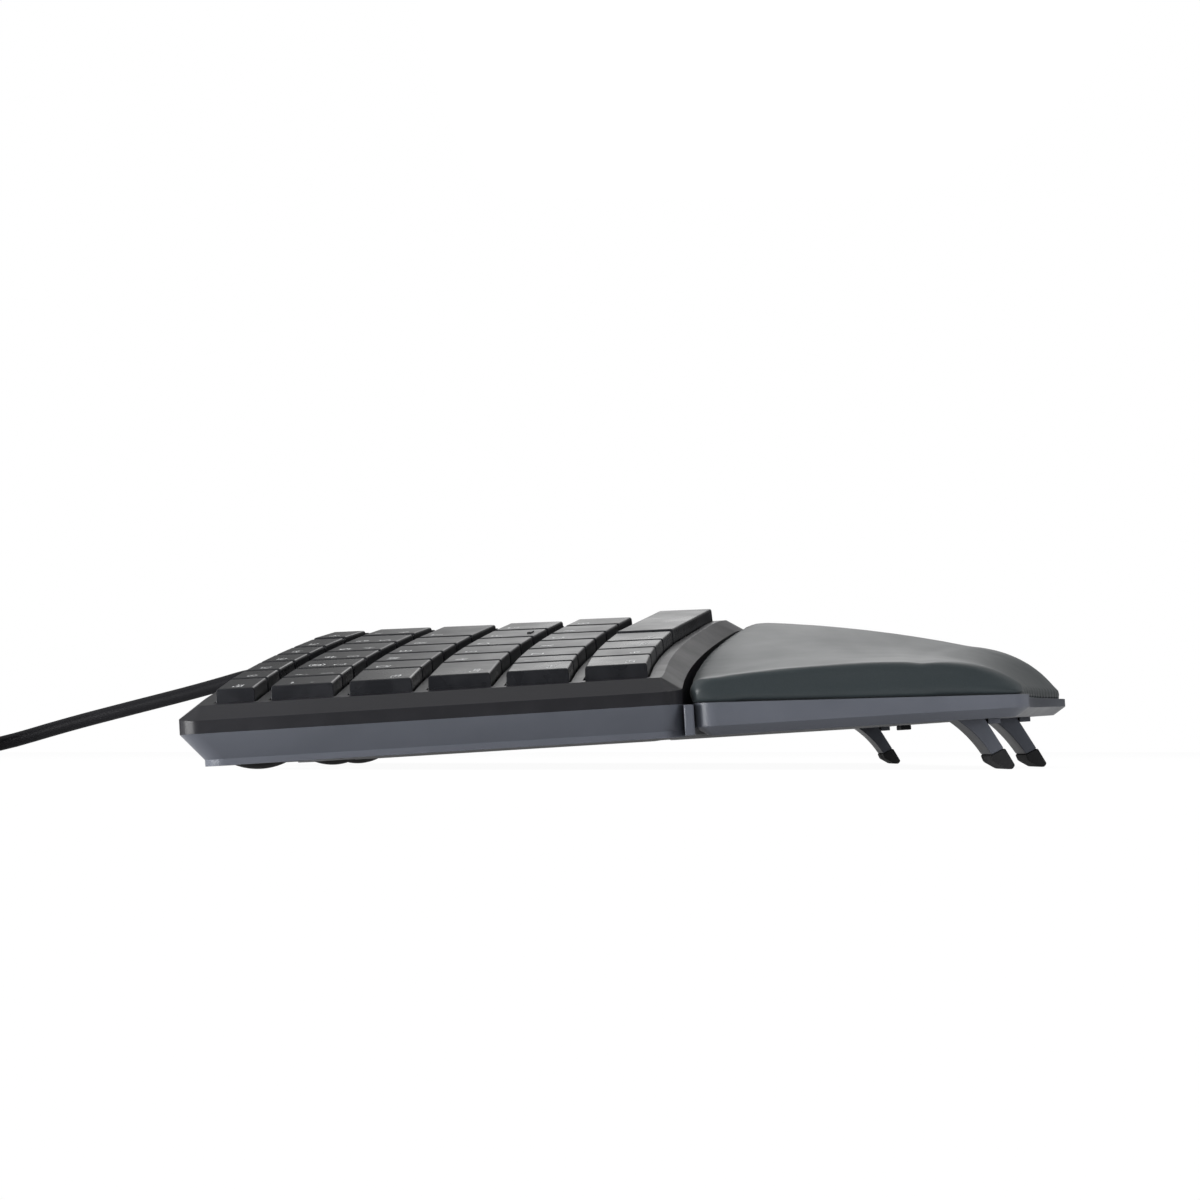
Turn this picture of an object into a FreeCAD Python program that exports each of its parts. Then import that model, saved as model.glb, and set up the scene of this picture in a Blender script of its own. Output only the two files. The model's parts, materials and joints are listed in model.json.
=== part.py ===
# Tented, curved-row ergonomic keyboard with a padded palm rest, three flip-out front legs
# and a coiled lead. Millimetres. X runs from the user's left to the right, Y to the rear, Z up.
# The keyboard is drawn level, with its base at z = 0, and then leans back on its front legs.
import FreeCAD, Part
import math
import os
import Sketcher

from FreeCAD import Placement, Rotation
from FreeCAD import Vector as Vec

doc = FreeCAD.newDocument("ergonomic_keyboard")

# Driving dimensions
SIZES = {
    # Plan outline
    "body_width": 459.3,
    "case_depth": 121.0,
    "corner_radius": 5.4,
    "hump_offset": 80.0,
    "row_radius": 672.0,
    "row_crown_lead": 33.6,
    "valley_radius": 30.0,
    # Tent and heights
    "deck_height": 15.0,
    "tent_rise": 18.3,
    "ridge_radius": 174.0,
    "hollow_radius": 150.0,
    "tent_run_right": 162.0,
    "parting_height": 7.9,
    "lip_height": 1.6,
    "flare": 4.9,
    "rim_chamfer_height": 3.0,
    "rim_chamfer_width": 4.8,
    "case_wall": 2.4,
    "deck_thickness": 2.4,
    "tray_wall": 2.0,
    "tray_floor": 2.0,
    # Keys
    "side_margin": 7.65,
    "rear_margin": 8.5,
    "function_step": 13.25,
    "front_margin": 8.1,
    "key_depth": 15.35,
    "function_key_depth": 9.6,
    "key_gap": 1.2,
    "key_rise": 3.3,
    "key_skirt": 1.0,
    "key_front_slope": 0.15,
    "key_side_slope": 0.45,
    "key_rear_slope": 0.25,
    "key_edge": 0.35,
    "key_travel": 2.0,
    "slot_clearance": 0.45,
    "stem_width": 5.0,
    "stem_depth": 4.4,
    "stem_bottom": 5.0,
    "stem_clearance": 0.55,
    # Switch stack under the deck
    "travel_clearance": 0.4,
    "guide_plate_thickness": 1.2,
    "dome_clearance": 0.2,
    "dome_sheet_thickness": 0.8,
    "membrane_thickness": 0.4,
    "back_plate_thickness": 1.0,
    "stack_gap": 0.1,
    "stack_inset": 6.6,
    "board_length": 62.0,
    "board_depth": 18.0,
    "board_thickness": 1.6,
    "board_from_hump": 75.0,
    "board_from_rear": 30.0,
    "lens_radius": 1.4,
    "lens_spacing": 12.0,
    "lens_stand": 0.2,
    "lens_clearance": 0.1,
    # Palm rest
    "palm_gap": 2.4,
    "palm_depth_side": 80.3,
    "palm_front_radius": 440.0,
    "palm_front_lead": 10.0,
    "palm_nose_radius": 55.0,
    "palm_rear_height": 8.0,
    "palm_front_height": 5.2,
    "palm_wall": 2.4,
    "palm_edge_height": 2.2,
    "palm_edge_width": 3.4,
    "neck_recess": 0.5,
    "neck_low": 0.3,
    "neck_drop": 0.4,
    "pad_rear_gap": 1.5,
    "pad_rim": 1.0,
    "pad_drop": 0.9,
    "pad_roll": 24.0,
    "pad_shoulder_height": 14.0,
    "pad_shoulder_share": 0.4,
    "pad_edge_radius": 3.2,
    "pad_front_wall": 1.7,
    "pad_front_edge": 1.5,
    "pad_crown": 1.1,
    "pad_fullness": 0.11,
    "pad_end_gap": 1.0,
    "pad_end_share": 0.78,
    "pad_end_roll": 4.6,
    "pad_end_tuck": 3.4,
    "pad_well_gap": 0.45,
    # Lean, feet and legs
    "lean_angle": 3.53,
    "foot_radius": 6.5,
    "foot_height": 1.35,
    "foot_from_rear": 16.3,
    "foot_from_left": 34.65,
    "foot_from_hump": 143.0,
    "foot_from_right": 43.65,
    "leg_width": 25.0,
    "leg_from_left": 39.65,
    "leg_from_hump": 11.0,
    "leg_from_right": 69.65,
    "leg_from_front": 12.1,
    "leg_centre_forward": 21.4,
    "leg_pivot_height": 2.6,
    "leg_pivot_radius": 1.6,
    "leg_pivot_clearance": 0.3,
    "leg_side_clearance": 0.4,
    "leg_head_radius": 3.6,
    "leg_heel": 4.4,
    "leg_heel_drop": 1.7,
    "leg_root": 3.6,
    "leg_rake": 29.7,
    "leg_ankle": 3.4,
    "leg_hollow": 0.75,
    "ankle_tilt": 24.0,
    "tip_height": 4.3,
    "tip_overhang": 0.25,
    "tip_width": 26.0,
    "tip_heel": 1.8,
    "tip_toe": 3.3,
    "tip_nose": 0.75,
    "tip_nose_height": 0.9,
    "tip_back": 0.6,
    "tip_back_height": 1.7,
    "well_wall": 2.0,
    "well_height": 9.4,
    "well_roof": 1.4,
    "well_clearance": 0.6,
    "stop_gap": 0.2,
    "stop_depth": 3.0,
    "strip_width": 18.0,
    "strip_depth": 3.2,
    "strip_height": 1.5,
    "strip_from_front": 7.6,
    "strip_from_hump": 139.0,
    "stop_height": 1.3,
    # Fasteners
    "screw_radius": 1.3,
    "screw_head_radius": 2.7,
    "screw_head_height": 1.4,
    "screw_length": 5.0,
    "boss_radius": 3.6,
    "screw_inset": 16.0,
    "screw_from_rear": 28.0,
    "screw_from_front": 10.0,
    "palm_screw_from_rear": 12.0,
    # Lead
    "cord_radius": 2.0,
    "exit_height": 25.0,
    "relief_length": 12.0,
    "relief_radius": 2.9,
    "relief_tip_radius": 2.5,
    "relief_clearance": 0.3,
    "flange_radius": 3.7,
    "flange_thickness": 1.6,
    "coil_radius": 29.6,
    "coil_gap": 1.25,
    "coil_y": 216.5,
    "coil_lift": 1.4,
    "tie_thickness": 0.9,
    "tie_width": 5.0,
    "tie_clearance": 0.35,
    "plug_length": 19.0,
    "plug_width": 15.6,
    "plug_thickness": 7.6,
    "plug_corner": 1.8,
    "plug_neck_length": 9.0,
    "shell_length": 18.6,
    "shell_width": 12.0,
    "shell_thickness": 4.5,
    "shell_wall": 0.35,
    "shell_corner": 0.5,
    "tongue_recess": 1.0,
}

sheet = doc.addObject("Spreadsheet::Sheet", "Sizes")
for row, (alias, value) in enumerate(SIZES.items(), start=1):
    sheet.set("A%d" % row, alias)
    sheet.set("B%d" % row, str(value))
    sheet.setAlias("B%d" % row, alias)
doc.recompute()


def size(alias):
    return float(sheet.get(alias))


LEFT = -size("body_width") / 2
RIGHT = size("body_width") / 2
HUMP = -size("hump_offset")
CASE_REAR = 0.0
CASE_FRONT = -size("case_depth")
KEYS_LEFT = LEFT + size("side_margin")
KEYS_RIGHT = RIGHT - size("side_margin")
MARGIN = size("palm_depth_side") / 2
TALL = 2 * (size("deck_height") + size("tent_rise"))
ROW_PITCH = (size("case_depth") - size("rear_margin") - size("function_step")
             - size("key_depth") - size("front_margin")) / 4


# Small geometry helpers

def line(start, end):
    return Part.LineSegment(start, end).toShape()


def arc(start, middle, end):
    return Part.Arc(start, middle, end).toShape()


def face_of(points):
    return Part.Face(Part.makePolygon(points + [points[0]]))


def solid_of(faces):
    solid = Part.Solid(Part.makeShell(faces))
    if solid.Volume < 0:
        solid.reverse()
    return solid


def block(x_low, x_high, y_low, y_high, z_low, z_high):
    corner = Vec(x_low, y_low, z_low)
    return Part.makeBox(x_high - x_low, y_high - y_low, z_high - z_low, corner)


# Curved rows: an arc left of the hump, its mirror image to the right, then straight

class RowCurve:
    """A line across the keyboard that bends towards the user at the hump, seen from above."""

    def __init__(self, y_side, radius, lead, side, blend):
        self.radius = radius
        self.crown = side - lead
        self.centre_y = y_side - math.sqrt(radius ** 2 - (side - self.crown) ** 2)
        self.blend = blend
        self.mirror_crown = 2 * HUMP - self.crown

    def y(self, x):
        reach = 0.0
        if x < HUMP:
            reach = x - self.crown
        elif x < self.mirror_crown:
            reach = x - self.mirror_crown
        return self.centre_y + math.sqrt(self.radius ** 2 - reach ** 2)

    def slope(self, x):
        step = 0.01
        return (self.y(x + step) - self.y(x - step)) / (2 * step)

    def edges(self, inset, towards, x_left, x_right, corner, z):
        """Left side point, edges from left to right, right side point; towards is -1 at the rear."""
        radius = self.radius + towards * inset
        blend = self.blend - towards * inset
        centre = Vec(self.crown, self.centre_y, z)
        blend_y = self.centre_y + math.sqrt((radius + blend) ** 2 - (HUMP - self.crown) ** 2)
        meet = centre + (Vec(HUMP, blend_y, z) - centre) * (radius / (radius + blend))
        meet_right = Vec(2 * HUMP - meet.x, meet.y, z)
        reach = radius + towards * corner
        turn_x = x_left + corner
        turn_y = self.centre_y + math.sqrt(reach ** 2 - (turn_x - self.crown) ** 2)
        turn = Vec(turn_x, turn_y, z)
        side_left = Vec(x_left, turn_y, z)
        start = centre + (turn - centre) * (radius / reach)
        bisector = (side_left - turn).normalize() + (start - turn).normalize()
        turn_middle = turn + bisector.normalize() * corner
        straight_y = self.centre_y + radius
        crown_right = Vec(self.mirror_crown, straight_y, z)
        end = Vec(x_right - corner, straight_y, z)
        side_right = Vec(x_right, straight_y + towards * corner, z)
        cut = corner * (1 - math.sqrt(0.5))
        right_middle = Vec(x_right - cut, straight_y + towards * cut, z)
        edges = [
            arc(side_left, turn_middle, start),
            arc(start, self.on_arc((start.x + meet.x) / 2, self.crown, radius, z), meet),
            arc(meet, Vec(HUMP, blend_y - blend, z), meet_right),
            arc(meet_right, self.on_arc((meet_right.x + crown_right.x) / 2,
                                        self.mirror_crown, radius, z), crown_right),
            line(crown_right, end),
            arc(end, right_middle, side_right),
        ]
        return side_left, edges, side_right

    def on_arc(self, x, crown, radius, z):
        return Vec(x, self.centre_y + math.sqrt(radius ** 2 - (x - crown) ** 2), z)


def rounding(curve, x):
    """How far the rounded bend at the hump lies behind the two arcs' meeting point."""
    reach = abs(x - HUMP)
    half = HUMP - curve.crown
    if reach >= half * curve.blend / (curve.radius + curve.blend):
        return 0.0
    centre_y = curve.centre_y + math.sqrt((curve.radius + curve.blend) ** 2 - half ** 2)
    return centre_y - math.sqrt(curve.blend ** 2 - reach ** 2) - curve.y(HUMP - reach)


def row_curve(offset):
    """The rows' curve, lying offset in front of the case's rear edge."""
    return RowCurve(CASE_REAR - offset, size("row_radius"), size("row_crown_lead"),
                    KEYS_LEFT, size("valley_radius"))


def outline(rear, front, inset_rear, inset_front, inset_side, corner, z):
    x_left = LEFT + inset_side
    x_right = RIGHT - inset_side
    rear_start, rear_edges, rear_end = rear.edges(inset_rear, -1, x_left, x_right, corner, z)
    front_start, front_edges, front_end = front.edges(inset_front, 1, x_left, x_right, corner, z)
    edges = [line(front_start, rear_start)] + rear_edges + [line(rear_end, front_end)]
    return Part.Wire(Part.__sortEdges__(edges + front_edges[::-1]))


def prism(wire, height):
    return Part.Face(wire).extrude(Vec(0, 0, height))


CASE_REAR_CURVE = row_curve(0)
CASE_FRONT_CURVE = row_curve(size("case_depth"))
PALM_REAR_CURVE = row_curve(size("case_depth") + size("palm_gap"))
PALM_SIDE = CASE_FRONT - size("palm_gap") - size("palm_depth_side")
PALM_FRONT_CURVE = RowCurve(PALM_SIDE, size("palm_front_radius"), size("palm_front_lead"),
                            LEFT, size("palm_nose_radius"))


def case_outline(inset, corner, z):
    return outline(CASE_REAR_CURVE, CASE_FRONT_CURVE, inset, inset, inset, corner, z)


# Tent: the deck climbs from the left to the hump, falls to the right and then runs level

class Bend:
    """A rounded bend in the deck's line, seen from the front; way is 1 on a ridge, -1 in a hollow."""

    def __init__(self, x, z, slope_in, slope_out, radius):
        self.way = 1 if slope_in > slope_out else -1
        self.radius = radius
        steep_in = math.hypot(1, slope_in)
        steep_out = math.hypot(1, slope_out)
        reach = self.way * radius
        self.x = x + reach * (steep_in - steep_out) / (slope_in - slope_out)
        self.z = z + slope_in * (self.x - x) - reach * steep_in
        self.x_in = self.x - reach * slope_in / steep_in
        self.x_out = self.x - reach * slope_out / steep_out

    def height(self, x):
        return self.z + self.way * math.sqrt(self.radius ** 2 - (x - self.x) ** 2)


TENT_SLOPE = size("tent_rise") / (HUMP - KEYS_LEFT)
TENT_SLOPE_RIGHT = size("tent_rise") / size("tent_run_right")
RIDGE = Bend(HUMP, size("deck_height") + size("tent_rise"), TENT_SLOPE, -TENT_SLOPE_RIGHT,
             size("ridge_radius"))
HOLLOW = Bend(HUMP + size("tent_run_right"), size("deck_height"), -TENT_SLOPE_RIGHT, 0,
              size("hollow_radius"))


def deck_z(x):
    """Height of the deck's surface."""
    if x < RIDGE.x_in:
        return size("deck_height") + TENT_SLOPE * (x - KEYS_LEFT)
    if x < RIDGE.x_out:
        return RIDGE.height(x)
    if x < HOLLOW.x_in:
        return size("deck_height") + TENT_SLOPE_RIGHT * (HUMP + size("tent_run_right") - x)
    if x < HOLLOW.x_out:
        return HOLLOW.height(x)
    return size("deck_height")


def tent(drop):
    """Everything below the deck's surface, lowered by drop."""
    left = LEFT - MARGIN
    right = RIGHT + MARGIN
    front = PALM_SIDE - 2 * MARGIN

    def at(x):
        return Vec(x, front, deck_z(x) - drop)

    edges = [
        line(at(left), at(RIDGE.x_in)),
        arc(at(RIDGE.x_in), at((RIDGE.x_in + RIDGE.x_out) / 2), at(RIDGE.x_out)),
        line(at(RIDGE.x_out), at(HOLLOW.x_in)),
        arc(at(HOLLOW.x_in), at((HOLLOW.x_in + HOLLOW.x_out) / 2), at(HOLLOW.x_out)),
        line(at(HOLLOW.x_out), at(right)),
        line(at(right), Vec(right, front, -TALL)),
        line(Vec(right, front, -TALL), Vec(left, front, -TALL)),
        line(Vec(left, front, -TALL), at(left)),
    ]
    return Part.Face(Part.Wire(edges)).extrude(Vec(0, MARGIN - front, 0))


def tent_slab(drop, thickness, inset):
    """A sheet that follows the tent, drop below the deck's surface."""
    corner = max(size("corner_radius") - inset, 1.0)
    column = prism(case_outline(inset, corner, 0), TALL)
    return column.common(tent(drop)).cut(tent(drop + thickness))


# Keys: a row is its start's offset and the proportions of the key widths that fill it

LEFT_ROWS = [
    (0.0, [22.5, 17.5, 19.5, 17.0, 17.0, 19.5, 20.0]),
    (0.0, [18.7] * 7),
    (-0.3, [25.0, 18.0, 18.0, 18.5, 19.0, 28.0]),
    (0.4, [30.0, 18.0, 18.5, 18.5, 19.0, 19.5]),
    (-0.7, [19.0, 14.0, 18.5, 19.0, 17.5, 18.5, 18.0]),
    (0.0, [22.0, 17.0, 18.0, 20.0, 60.0]),
]
RIGHT_ROWS = [
    (9.0, [20.0, 19.5, 17.0, 17.0, 19.5, 17.5, 19.5, 21.4]),
    (11.0, [18.7] * 6 + [37.2]),
    (16.0, [17.9] * 7),
    (18.0, [17.6] * 7),
    (18.5, [18.0] * 5 + [52.0]),
    (5.0, [60.0, 23.0, 23.0, 23.0, 26.4]),
]
ENTER_WIDTH = 19.4
RIGHT_ROOM = [0, 0, ENTER_WIDTH, ENTER_WIDTH, 0, 0]
NAV_PITCH = 18.7
NAV_GAP = 5.0
NAV_ROWS = [3, 3, 3, 0, 1, 3]
PAD_ROWS = [[1, 1, 1, 1], [1, 1, 1, 1], [1, 1, 1], [1, 1, 1], [1, 1, 1], [2, 1]]
NAV_LEFT = KEYS_RIGHT - 7 * NAV_PITCH - NAV_GAP
PAD_LEFT = KEYS_RIGHT - 4 * NAV_PITCH
BLOCK_RIGHT = NAV_LEFT - NAV_GAP


def row_front_offset(row):
    """Distance from the case's rear edge to the front of a row's key footprints."""
    return row_rear_offset(row) + row_depth(row)


def row_rear_offset(row):
    if row == 0:
        return size("rear_margin")
    return size("rear_margin") + size("function_step") + (row - 1) * ROW_PITCH


def row_depth(row):
    return size("function_key_depth") if row == 0 else size("key_depth")


class Key:
    """One key's footprint between two places across a row, spanning one or more rows."""

    def __init__(self, x_left, x_right, row, last_row=None):
        rear = row_curve(row_rear_offset(row))
        last = row if last_row is None else last_row
        middle_offset = (row_rear_offset(row) + row_front_offset(last)) / 2
        self.half = (row_front_offset(last) - row_rear_offset(row)) / 2
        self.middle = row_curve(middle_offset)
        self.x_left = x_left
        self.x_right = x_right
        self.centre_x = (x_left + x_right) / 2
        left_z = deck_z(x_left)
        right_z = deck_z(x_right)
        self.slope = (right_z - left_z) / (x_right - x_left)
        self.z = max(deck_z(self.centre_x), (left_z + right_z) / 2)
        self.rear_y = rear.y(self.centre_x)

    def side(self, x):
        """A point on the row's middle line and the unit vector to the rear there."""
        slope = self.middle.slope(min(max(x, KEYS_LEFT), KEYS_RIGHT))
        return Vec(x, self.middle.y(x), 0), Vec(-slope, 1, 0).normalize()

    def quad(self, rear, front, side):
        """Corners of the footprint drawn in by those amounts, anticlockwise from the rear left."""
        left, left_way = self.side(self.x_left)
        right, right_way = self.side(self.x_right)
        corners = [left + left_way * self.half, left - left_way * self.half,
                   right - right_way * self.half, right + right_way * self.half]
        inset = [side + size("key_gap") / 2, front, side + size("key_gap") / 2, rear]
        return offset_polygon(corners, inset)

    def at(self, points, height):
        """Footprint points lifted to a height over the key's own plane of the deck."""
        return [Vec(p.x, p.y, self.plane_z(p.x) + height) for p in points]

    def plane_z(self, x):
        return self.z + self.slope * (x - self.centre_x)

    def stem(self, grow):
        centre = (self.side(self.x_left)[0] + self.side(self.x_right)[0]) / 2
        half_x = size("stem_width") / 2 + grow
        half_y = size("stem_depth") / 2 + grow
        return [centre + Vec(-half_x, half_y, 0), centre + Vec(-half_x, -half_y, 0),
                centre + Vec(half_x, -half_y, 0), centre + Vec(half_x, half_y, 0)]

    def cap(self):
        """Tapered cap with an eased top edge, and the guide stem under it."""
        edge = size("key_edge")
        slopes = (size("key_rear_slope"), size("key_front_slope"), size("key_side_slope"))
        foot = self.at(self.quad(0, 0, 0), -size("key_skirt"))
        shoulder = self.at(self.quad(*slopes), size("key_rise") - edge)
        top = self.at(self.quad(*[slope + edge for slope in slopes]), size("key_rise"))
        stem_top = self.at(self.stem(0), -size("key_skirt"))
        stem_foot = self.at(self.stem(0), -size("stem_bottom"))
        under = face_of(foot).cut(face_of(stem_top)).Faces[0]
        faces = [face_of(top), under, face_of(stem_foot)]
        for low, high in ((foot, shoulder), (shoulder, top), (stem_foot, stem_top)):
            faces += band(low, high)
        return solid_of(faces)


def band(low, high):
    """Side faces between two polygons of as many corners."""
    count = len(low)
    return [face_of([low[i], low[(i + 1) % count], high[(i + 1) % count], high[i]])
            for i in range(count)]


def offset_polygon(corners, insets):
    """An anticlockwise polygon with each side moved inwards by its own amount."""
    count = len(corners)
    moved = []
    for i in range(count):
        along = (corners[(i + 1) % count] - corners[i]).normalize()
        moved.append((corners[i] + Vec(-along.y, along.x, 0) * insets[i], along))
    result = []
    for i in range(count):
        start, along = moved[i - 1]
        other, way = moved[i]
        gap = other - start
        reach = (gap.x * way.y - gap.y * way.x) / (along.x * way.y - along.y * way.x)
        result.append(start + along * reach)
    return result


def keys_filling(start, end, widths, row):
    """A row of keys whose widths keep their proportions and fill the room from start to end."""
    share = (end - start) / sum(widths)
    return keys_from(start, [width * share for width in widths], row)


def keys_from(start, widths, row):
    keys = []
    for width in widths:
        keys.append(Key(start, start + width, row))
        start += width
    return keys


def slot_shape(keys, clearance):
    """One opening round neighbouring keys: a prism on their joined footprints, grown a little."""
    near = [key.quad(-clearance, -clearance, 0) for key in keys]
    first = keys[0].quad(-clearance, -clearance, -clearance)
    last = keys[-1].quad(-clearance, -clearance, -clearance)
    rear = [first[0]]
    front = [first[1]]
    for before, after in zip(near, near[1:]):
        rear.append((before[3] + after[0]) / 2)
        front.append((before[2] + after[1]) / 2)
    rear.append(last[3])
    front.append(last[2])
    return face_of(front + rear[::-1]).extrude(Vec(0, 0, TALL))


left_keys = [keys_filling(KEYS_LEFT + start, HUMP - RIGHT_ROWS[row][0], widths, row)
             for row, (start, widths) in enumerate(LEFT_ROWS)]
right_keys = [keys_filling(HUMP + start, BLOCK_RIGHT - RIGHT_ROOM[row], widths, row)
              for row, (start, widths) in enumerate(RIGHT_ROWS)]
nav_keys = []
for row, count in enumerate(NAV_ROWS):
    start = NAV_LEFT + (3 - count) / 2 * NAV_PITCH
    nav_keys.append(keys_from(start, [NAV_PITCH] * count, row))
pad_keys = [keys_from(PAD_LEFT, [NAV_PITCH * units for units in widths], row)
            for row, widths in enumerate(PAD_ROWS)]
enter_key = Key(BLOCK_RIGHT - ENTER_WIDTH, BLOCK_RIGHT, 2, 3)
plus_key = Key(KEYS_RIGHT - NAV_PITCH, KEYS_RIGHT, 2, 3)
pad_enter_key = Key(KEYS_RIGHT - NAV_PITCH, KEYS_RIGHT, 4, 5)

# Key nodes: keys that press as one group share a node and a guide direction
KEY_GROUPS = {
    "esc_key": left_keys[0][:1],
    "tab_key": left_keys[2][:1],
    "caps_lock_key": left_keys[3][:1],
    "left_shift_key": left_keys[4][:1],
    "left_control_key": left_keys[5][:1],
    "left_space_key": left_keys[5][4:],
    "right_space_key": right_keys[5][:1],
    "backspace_key": right_keys[1][6:],
    "enter_key": [enter_key],
    "right_shift_key": right_keys[4][5:],
    "left_function_keys": left_keys[0][1:],
    "left_number_keys": left_keys[1],
    "left_upper_keys": left_keys[2][1:],
    "left_home_keys": left_keys[3][1:],
    "left_lower_keys": left_keys[4][1:],
    "left_modifier_keys": left_keys[5][1:4],
    "right_function_keys": right_keys[0],
    "right_number_keys": right_keys[1][:6],
    "right_upper_keys": right_keys[2],
    "right_home_keys": right_keys[3],
    "right_lower_keys": right_keys[4][:5],
    "right_modifier_keys": right_keys[5][1:],
    "system_keys": nav_keys[0],
    "editing_keys": nav_keys[1] + nav_keys[2],
    "arrow_keys": nav_keys[4] + nav_keys[5],
    "media_keys": pad_keys[0],
    "pad_top_keys": pad_keys[1],
    "pad_seven_row_keys": pad_keys[2] + [plus_key],
    "pad_four_row_keys": pad_keys[3],
    "pad_lower_keys": pad_keys[4] + pad_keys[5] + [pad_enter_key],
}
SLOTS = [row for block_keys in (left_keys, right_keys, nav_keys, pad_keys)
         for row in block_keys if row]
SLOTS += [[enter_key], [plus_key], [pad_enter_key]]
ALL_KEYS = [key for keys in KEY_GROUPS.values() for key in keys]


# The level keyboard leans back about its rear feet

LEAN = math.radians(size("lean_angle"))
FOOT_Y = CASE_REAR - size("foot_from_rear")
FOOT_BALL = (size("foot_radius") ** 2 + size("foot_height") ** 2) / (2 * size("foot_height"))


def ground_z(y):
    """Height of the desk under the level keyboard, touching the rear feet's domes."""
    centre_z = FOOT_BALL - size("foot_height")
    return centre_z - FOOT_BALL / math.cos(LEAN) - (FOOT_Y - y) * math.tan(LEAN)


lean = Placement(Vec(0, 0, 0), Rotation(Vec(1, 0, 0), -size("lean_angle")))
lean.Base.z = -lean.multVec(Vec(0, FOOT_Y, ground_z(FOOT_Y))).z

# Every finished piece: its object, its own place, and whether it leans with the keyboard
pieces = {}


def keep(label, item, place=None, leans=True):
    item.Label = label
    pieces[label] = (item, place or Placement(), leans)
    return item


def shaped(label, shape, place=None, leans=True):
    item = doc.addObject("Part::Feature", label)
    item.Shape = shape
    return keep(label, item, place, leans)


def plane_of(body, role):
    return next(plane for plane in body.Origin.OriginFeatures if plane.Role == role)


def sketch_on(body, name, role, edges):
    """A sketch of lines and arcs on one of the body's own planes."""
    sketch = body.newObject("Sketcher::SketchObject", name)
    sketch.AttachmentSupport = [(plane_of(body, role), "")]
    sketch.MapMode = "FlatFace"
    for edge in edges:
        sketch.addGeometry(edge, False)
    return sketch


def chain(points):
    """Closed straight edges through flat points (x, y)."""
    corners = [Vec(x, y, 0) for x, y in points]
    return [Part.LineSegment(a, b) for a, b in zip(corners, corners[1:] + corners[:1])]


def padded(body, sketch, length, both_ways=False):
    """A pad as long as a cell or an expression of cells."""
    feature = body.newObject("PartDesign::Pad", sketch.Name + "_pad")
    feature.Profile = sketch
    feature.Midplane = both_ways
    feature.setExpression("Length", length)
    sketch.Visibility = False
    return feature


def turned(body, sketch, axis):
    """A full turn of a sketch about one of its own axes."""
    feature = body.newObject("PartDesign::Revolution", sketch.Name + "_turn")
    feature.Profile = sketch
    feature.ReferenceAxis = (sketch, [axis])
    feature.Angle = 360
    return feature


def new_body(label):
    return doc.addObject("PartDesign::Body", label)


# Casings

def rim_edges(solid):
    """Edges round the deck: those of its upward faces that only one of them has."""
    upward = []
    for face in solid.Faces:
        u_low, u_high, v_low, v_high = face.ParameterRange
        if face.normalAt((u_low + u_high) / 2, (v_low + v_high) / 2).z > 0.9:
            upward.append(face)
    edges = [edge for face in upward for edge in face.Edges]
    return [edge for edge in edges if sum(edge.isSame(other) for other in edges) == 1]


def top_case():
    corner = size("corner_radius")
    wall = size("case_wall")
    parting = size("parting_height")
    solid = prism(case_outline(0, corner, parting), TALL).common(tent(0)).Solids[0]
    solid = solid.makeChamfer(size("rim_chamfer_width"), size("rim_chamfer_height"),
                              rim_edges(solid))
    inside = prism(case_outline(wall, corner - wall, parting), TALL)
    solid = solid.cut(inside.common(tent(size("deck_thickness"))))
    openings = [slot_shape(keys, size("slot_clearance")) for keys in SLOTS]
    openings.append(lenses(size("lens_radius") + size("lens_clearance"), parting, TALL))
    solid = solid.cut(Part.makeCompound(openings))
    hole = Part.makeCylinder(size("relief_radius") + size("relief_clearance"), 2 * MARGIN,
                             Vec(HUMP, WALL_Y - MARGIN, size("exit_height")), Vec(0, 1, 0))
    return solid.cut(hole.common(block(LEFT, RIGHT, WALL_Y - 2 * wall, WALL_Y + MARGIN, 0, TALL)))


def lenses(radius, z_low, z_high):
    """Three status lenses in the empty row between the editing and the arrow keys."""
    discs = []
    for step in (-1, 0, 1):
        place = Vec(LENS_X + step * size("lens_spacing"), LENS_Y, z_low)
        discs.append(Part.makeCylinder(radius, z_high - z_low, place))
    return Part.makeCompound(discs)


def bottom_case():
    """A tray with a flared rim, a floor and bosses that reach up to the back plate."""
    flare = size("flare")
    wall = size("tray_wall")
    corner = size("corner_radius")
    lip = size("lip_height")
    parting = size("parting_height")

    def ring(inset, front, radius, z):
        return outline(CASE_REAR_CURVE, CASE_FRONT_CURVE, inset, front, inset, radius, z)

    outer = Part.makeLoft([ring(flare, 0, corner, lip), ring(0, 0, corner, parting)], True, True)
    outer = outer.fuse(prism(ring(flare, 0, corner, 0), lip))
    inner_corner = corner - wall
    inner = Part.makeLoft([ring(flare + wall, wall, inner_corner, lip),
                           ring(wall, wall, inner_corner, parting)], True, True)
    floor = size("tray_floor")
    inner = inner.fuse(prism(ring(flare + wall, wall, inner_corner, floor), lip - floor))
    tray = outer.cut(inner)
    ceiling = tent(STACK_BOTTOM + size("stack_gap"))
    for x, y in CASE_SCREWS:
        boss = Part.makeCylinder(size("boss_radius"), TALL, Vec(x, y, floor / 2))
        tray = tray.fuse(boss.common(ceiling))
    for x, y in CASE_SCREWS:
        tray = tray.cut(screw_hole(x, y))
    return tray.removeSplitter()


def screw_hole(x, y):
    """Countersunk from below, open to the screw's full length."""
    clearance = size("stack_gap")
    head = Part.makeCone(size("screw_head_radius") + clearance, size("screw_radius") + clearance,
                         size("screw_head_height"), Vec(x, y, 0))
    shank = Part.makeCylinder(size("screw_radius") + clearance,
                              size("screw_length") + clearance, Vec(x, y, 0))
    return head.fuse(shank)


def palm_top_z(y):
    rise = size("palm_rear_height") - size("palm_front_height")
    return size("palm_front_height") + rise * (y - PALM_SIDE) / (PALM_REAR - PALM_SIDE)


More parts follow.
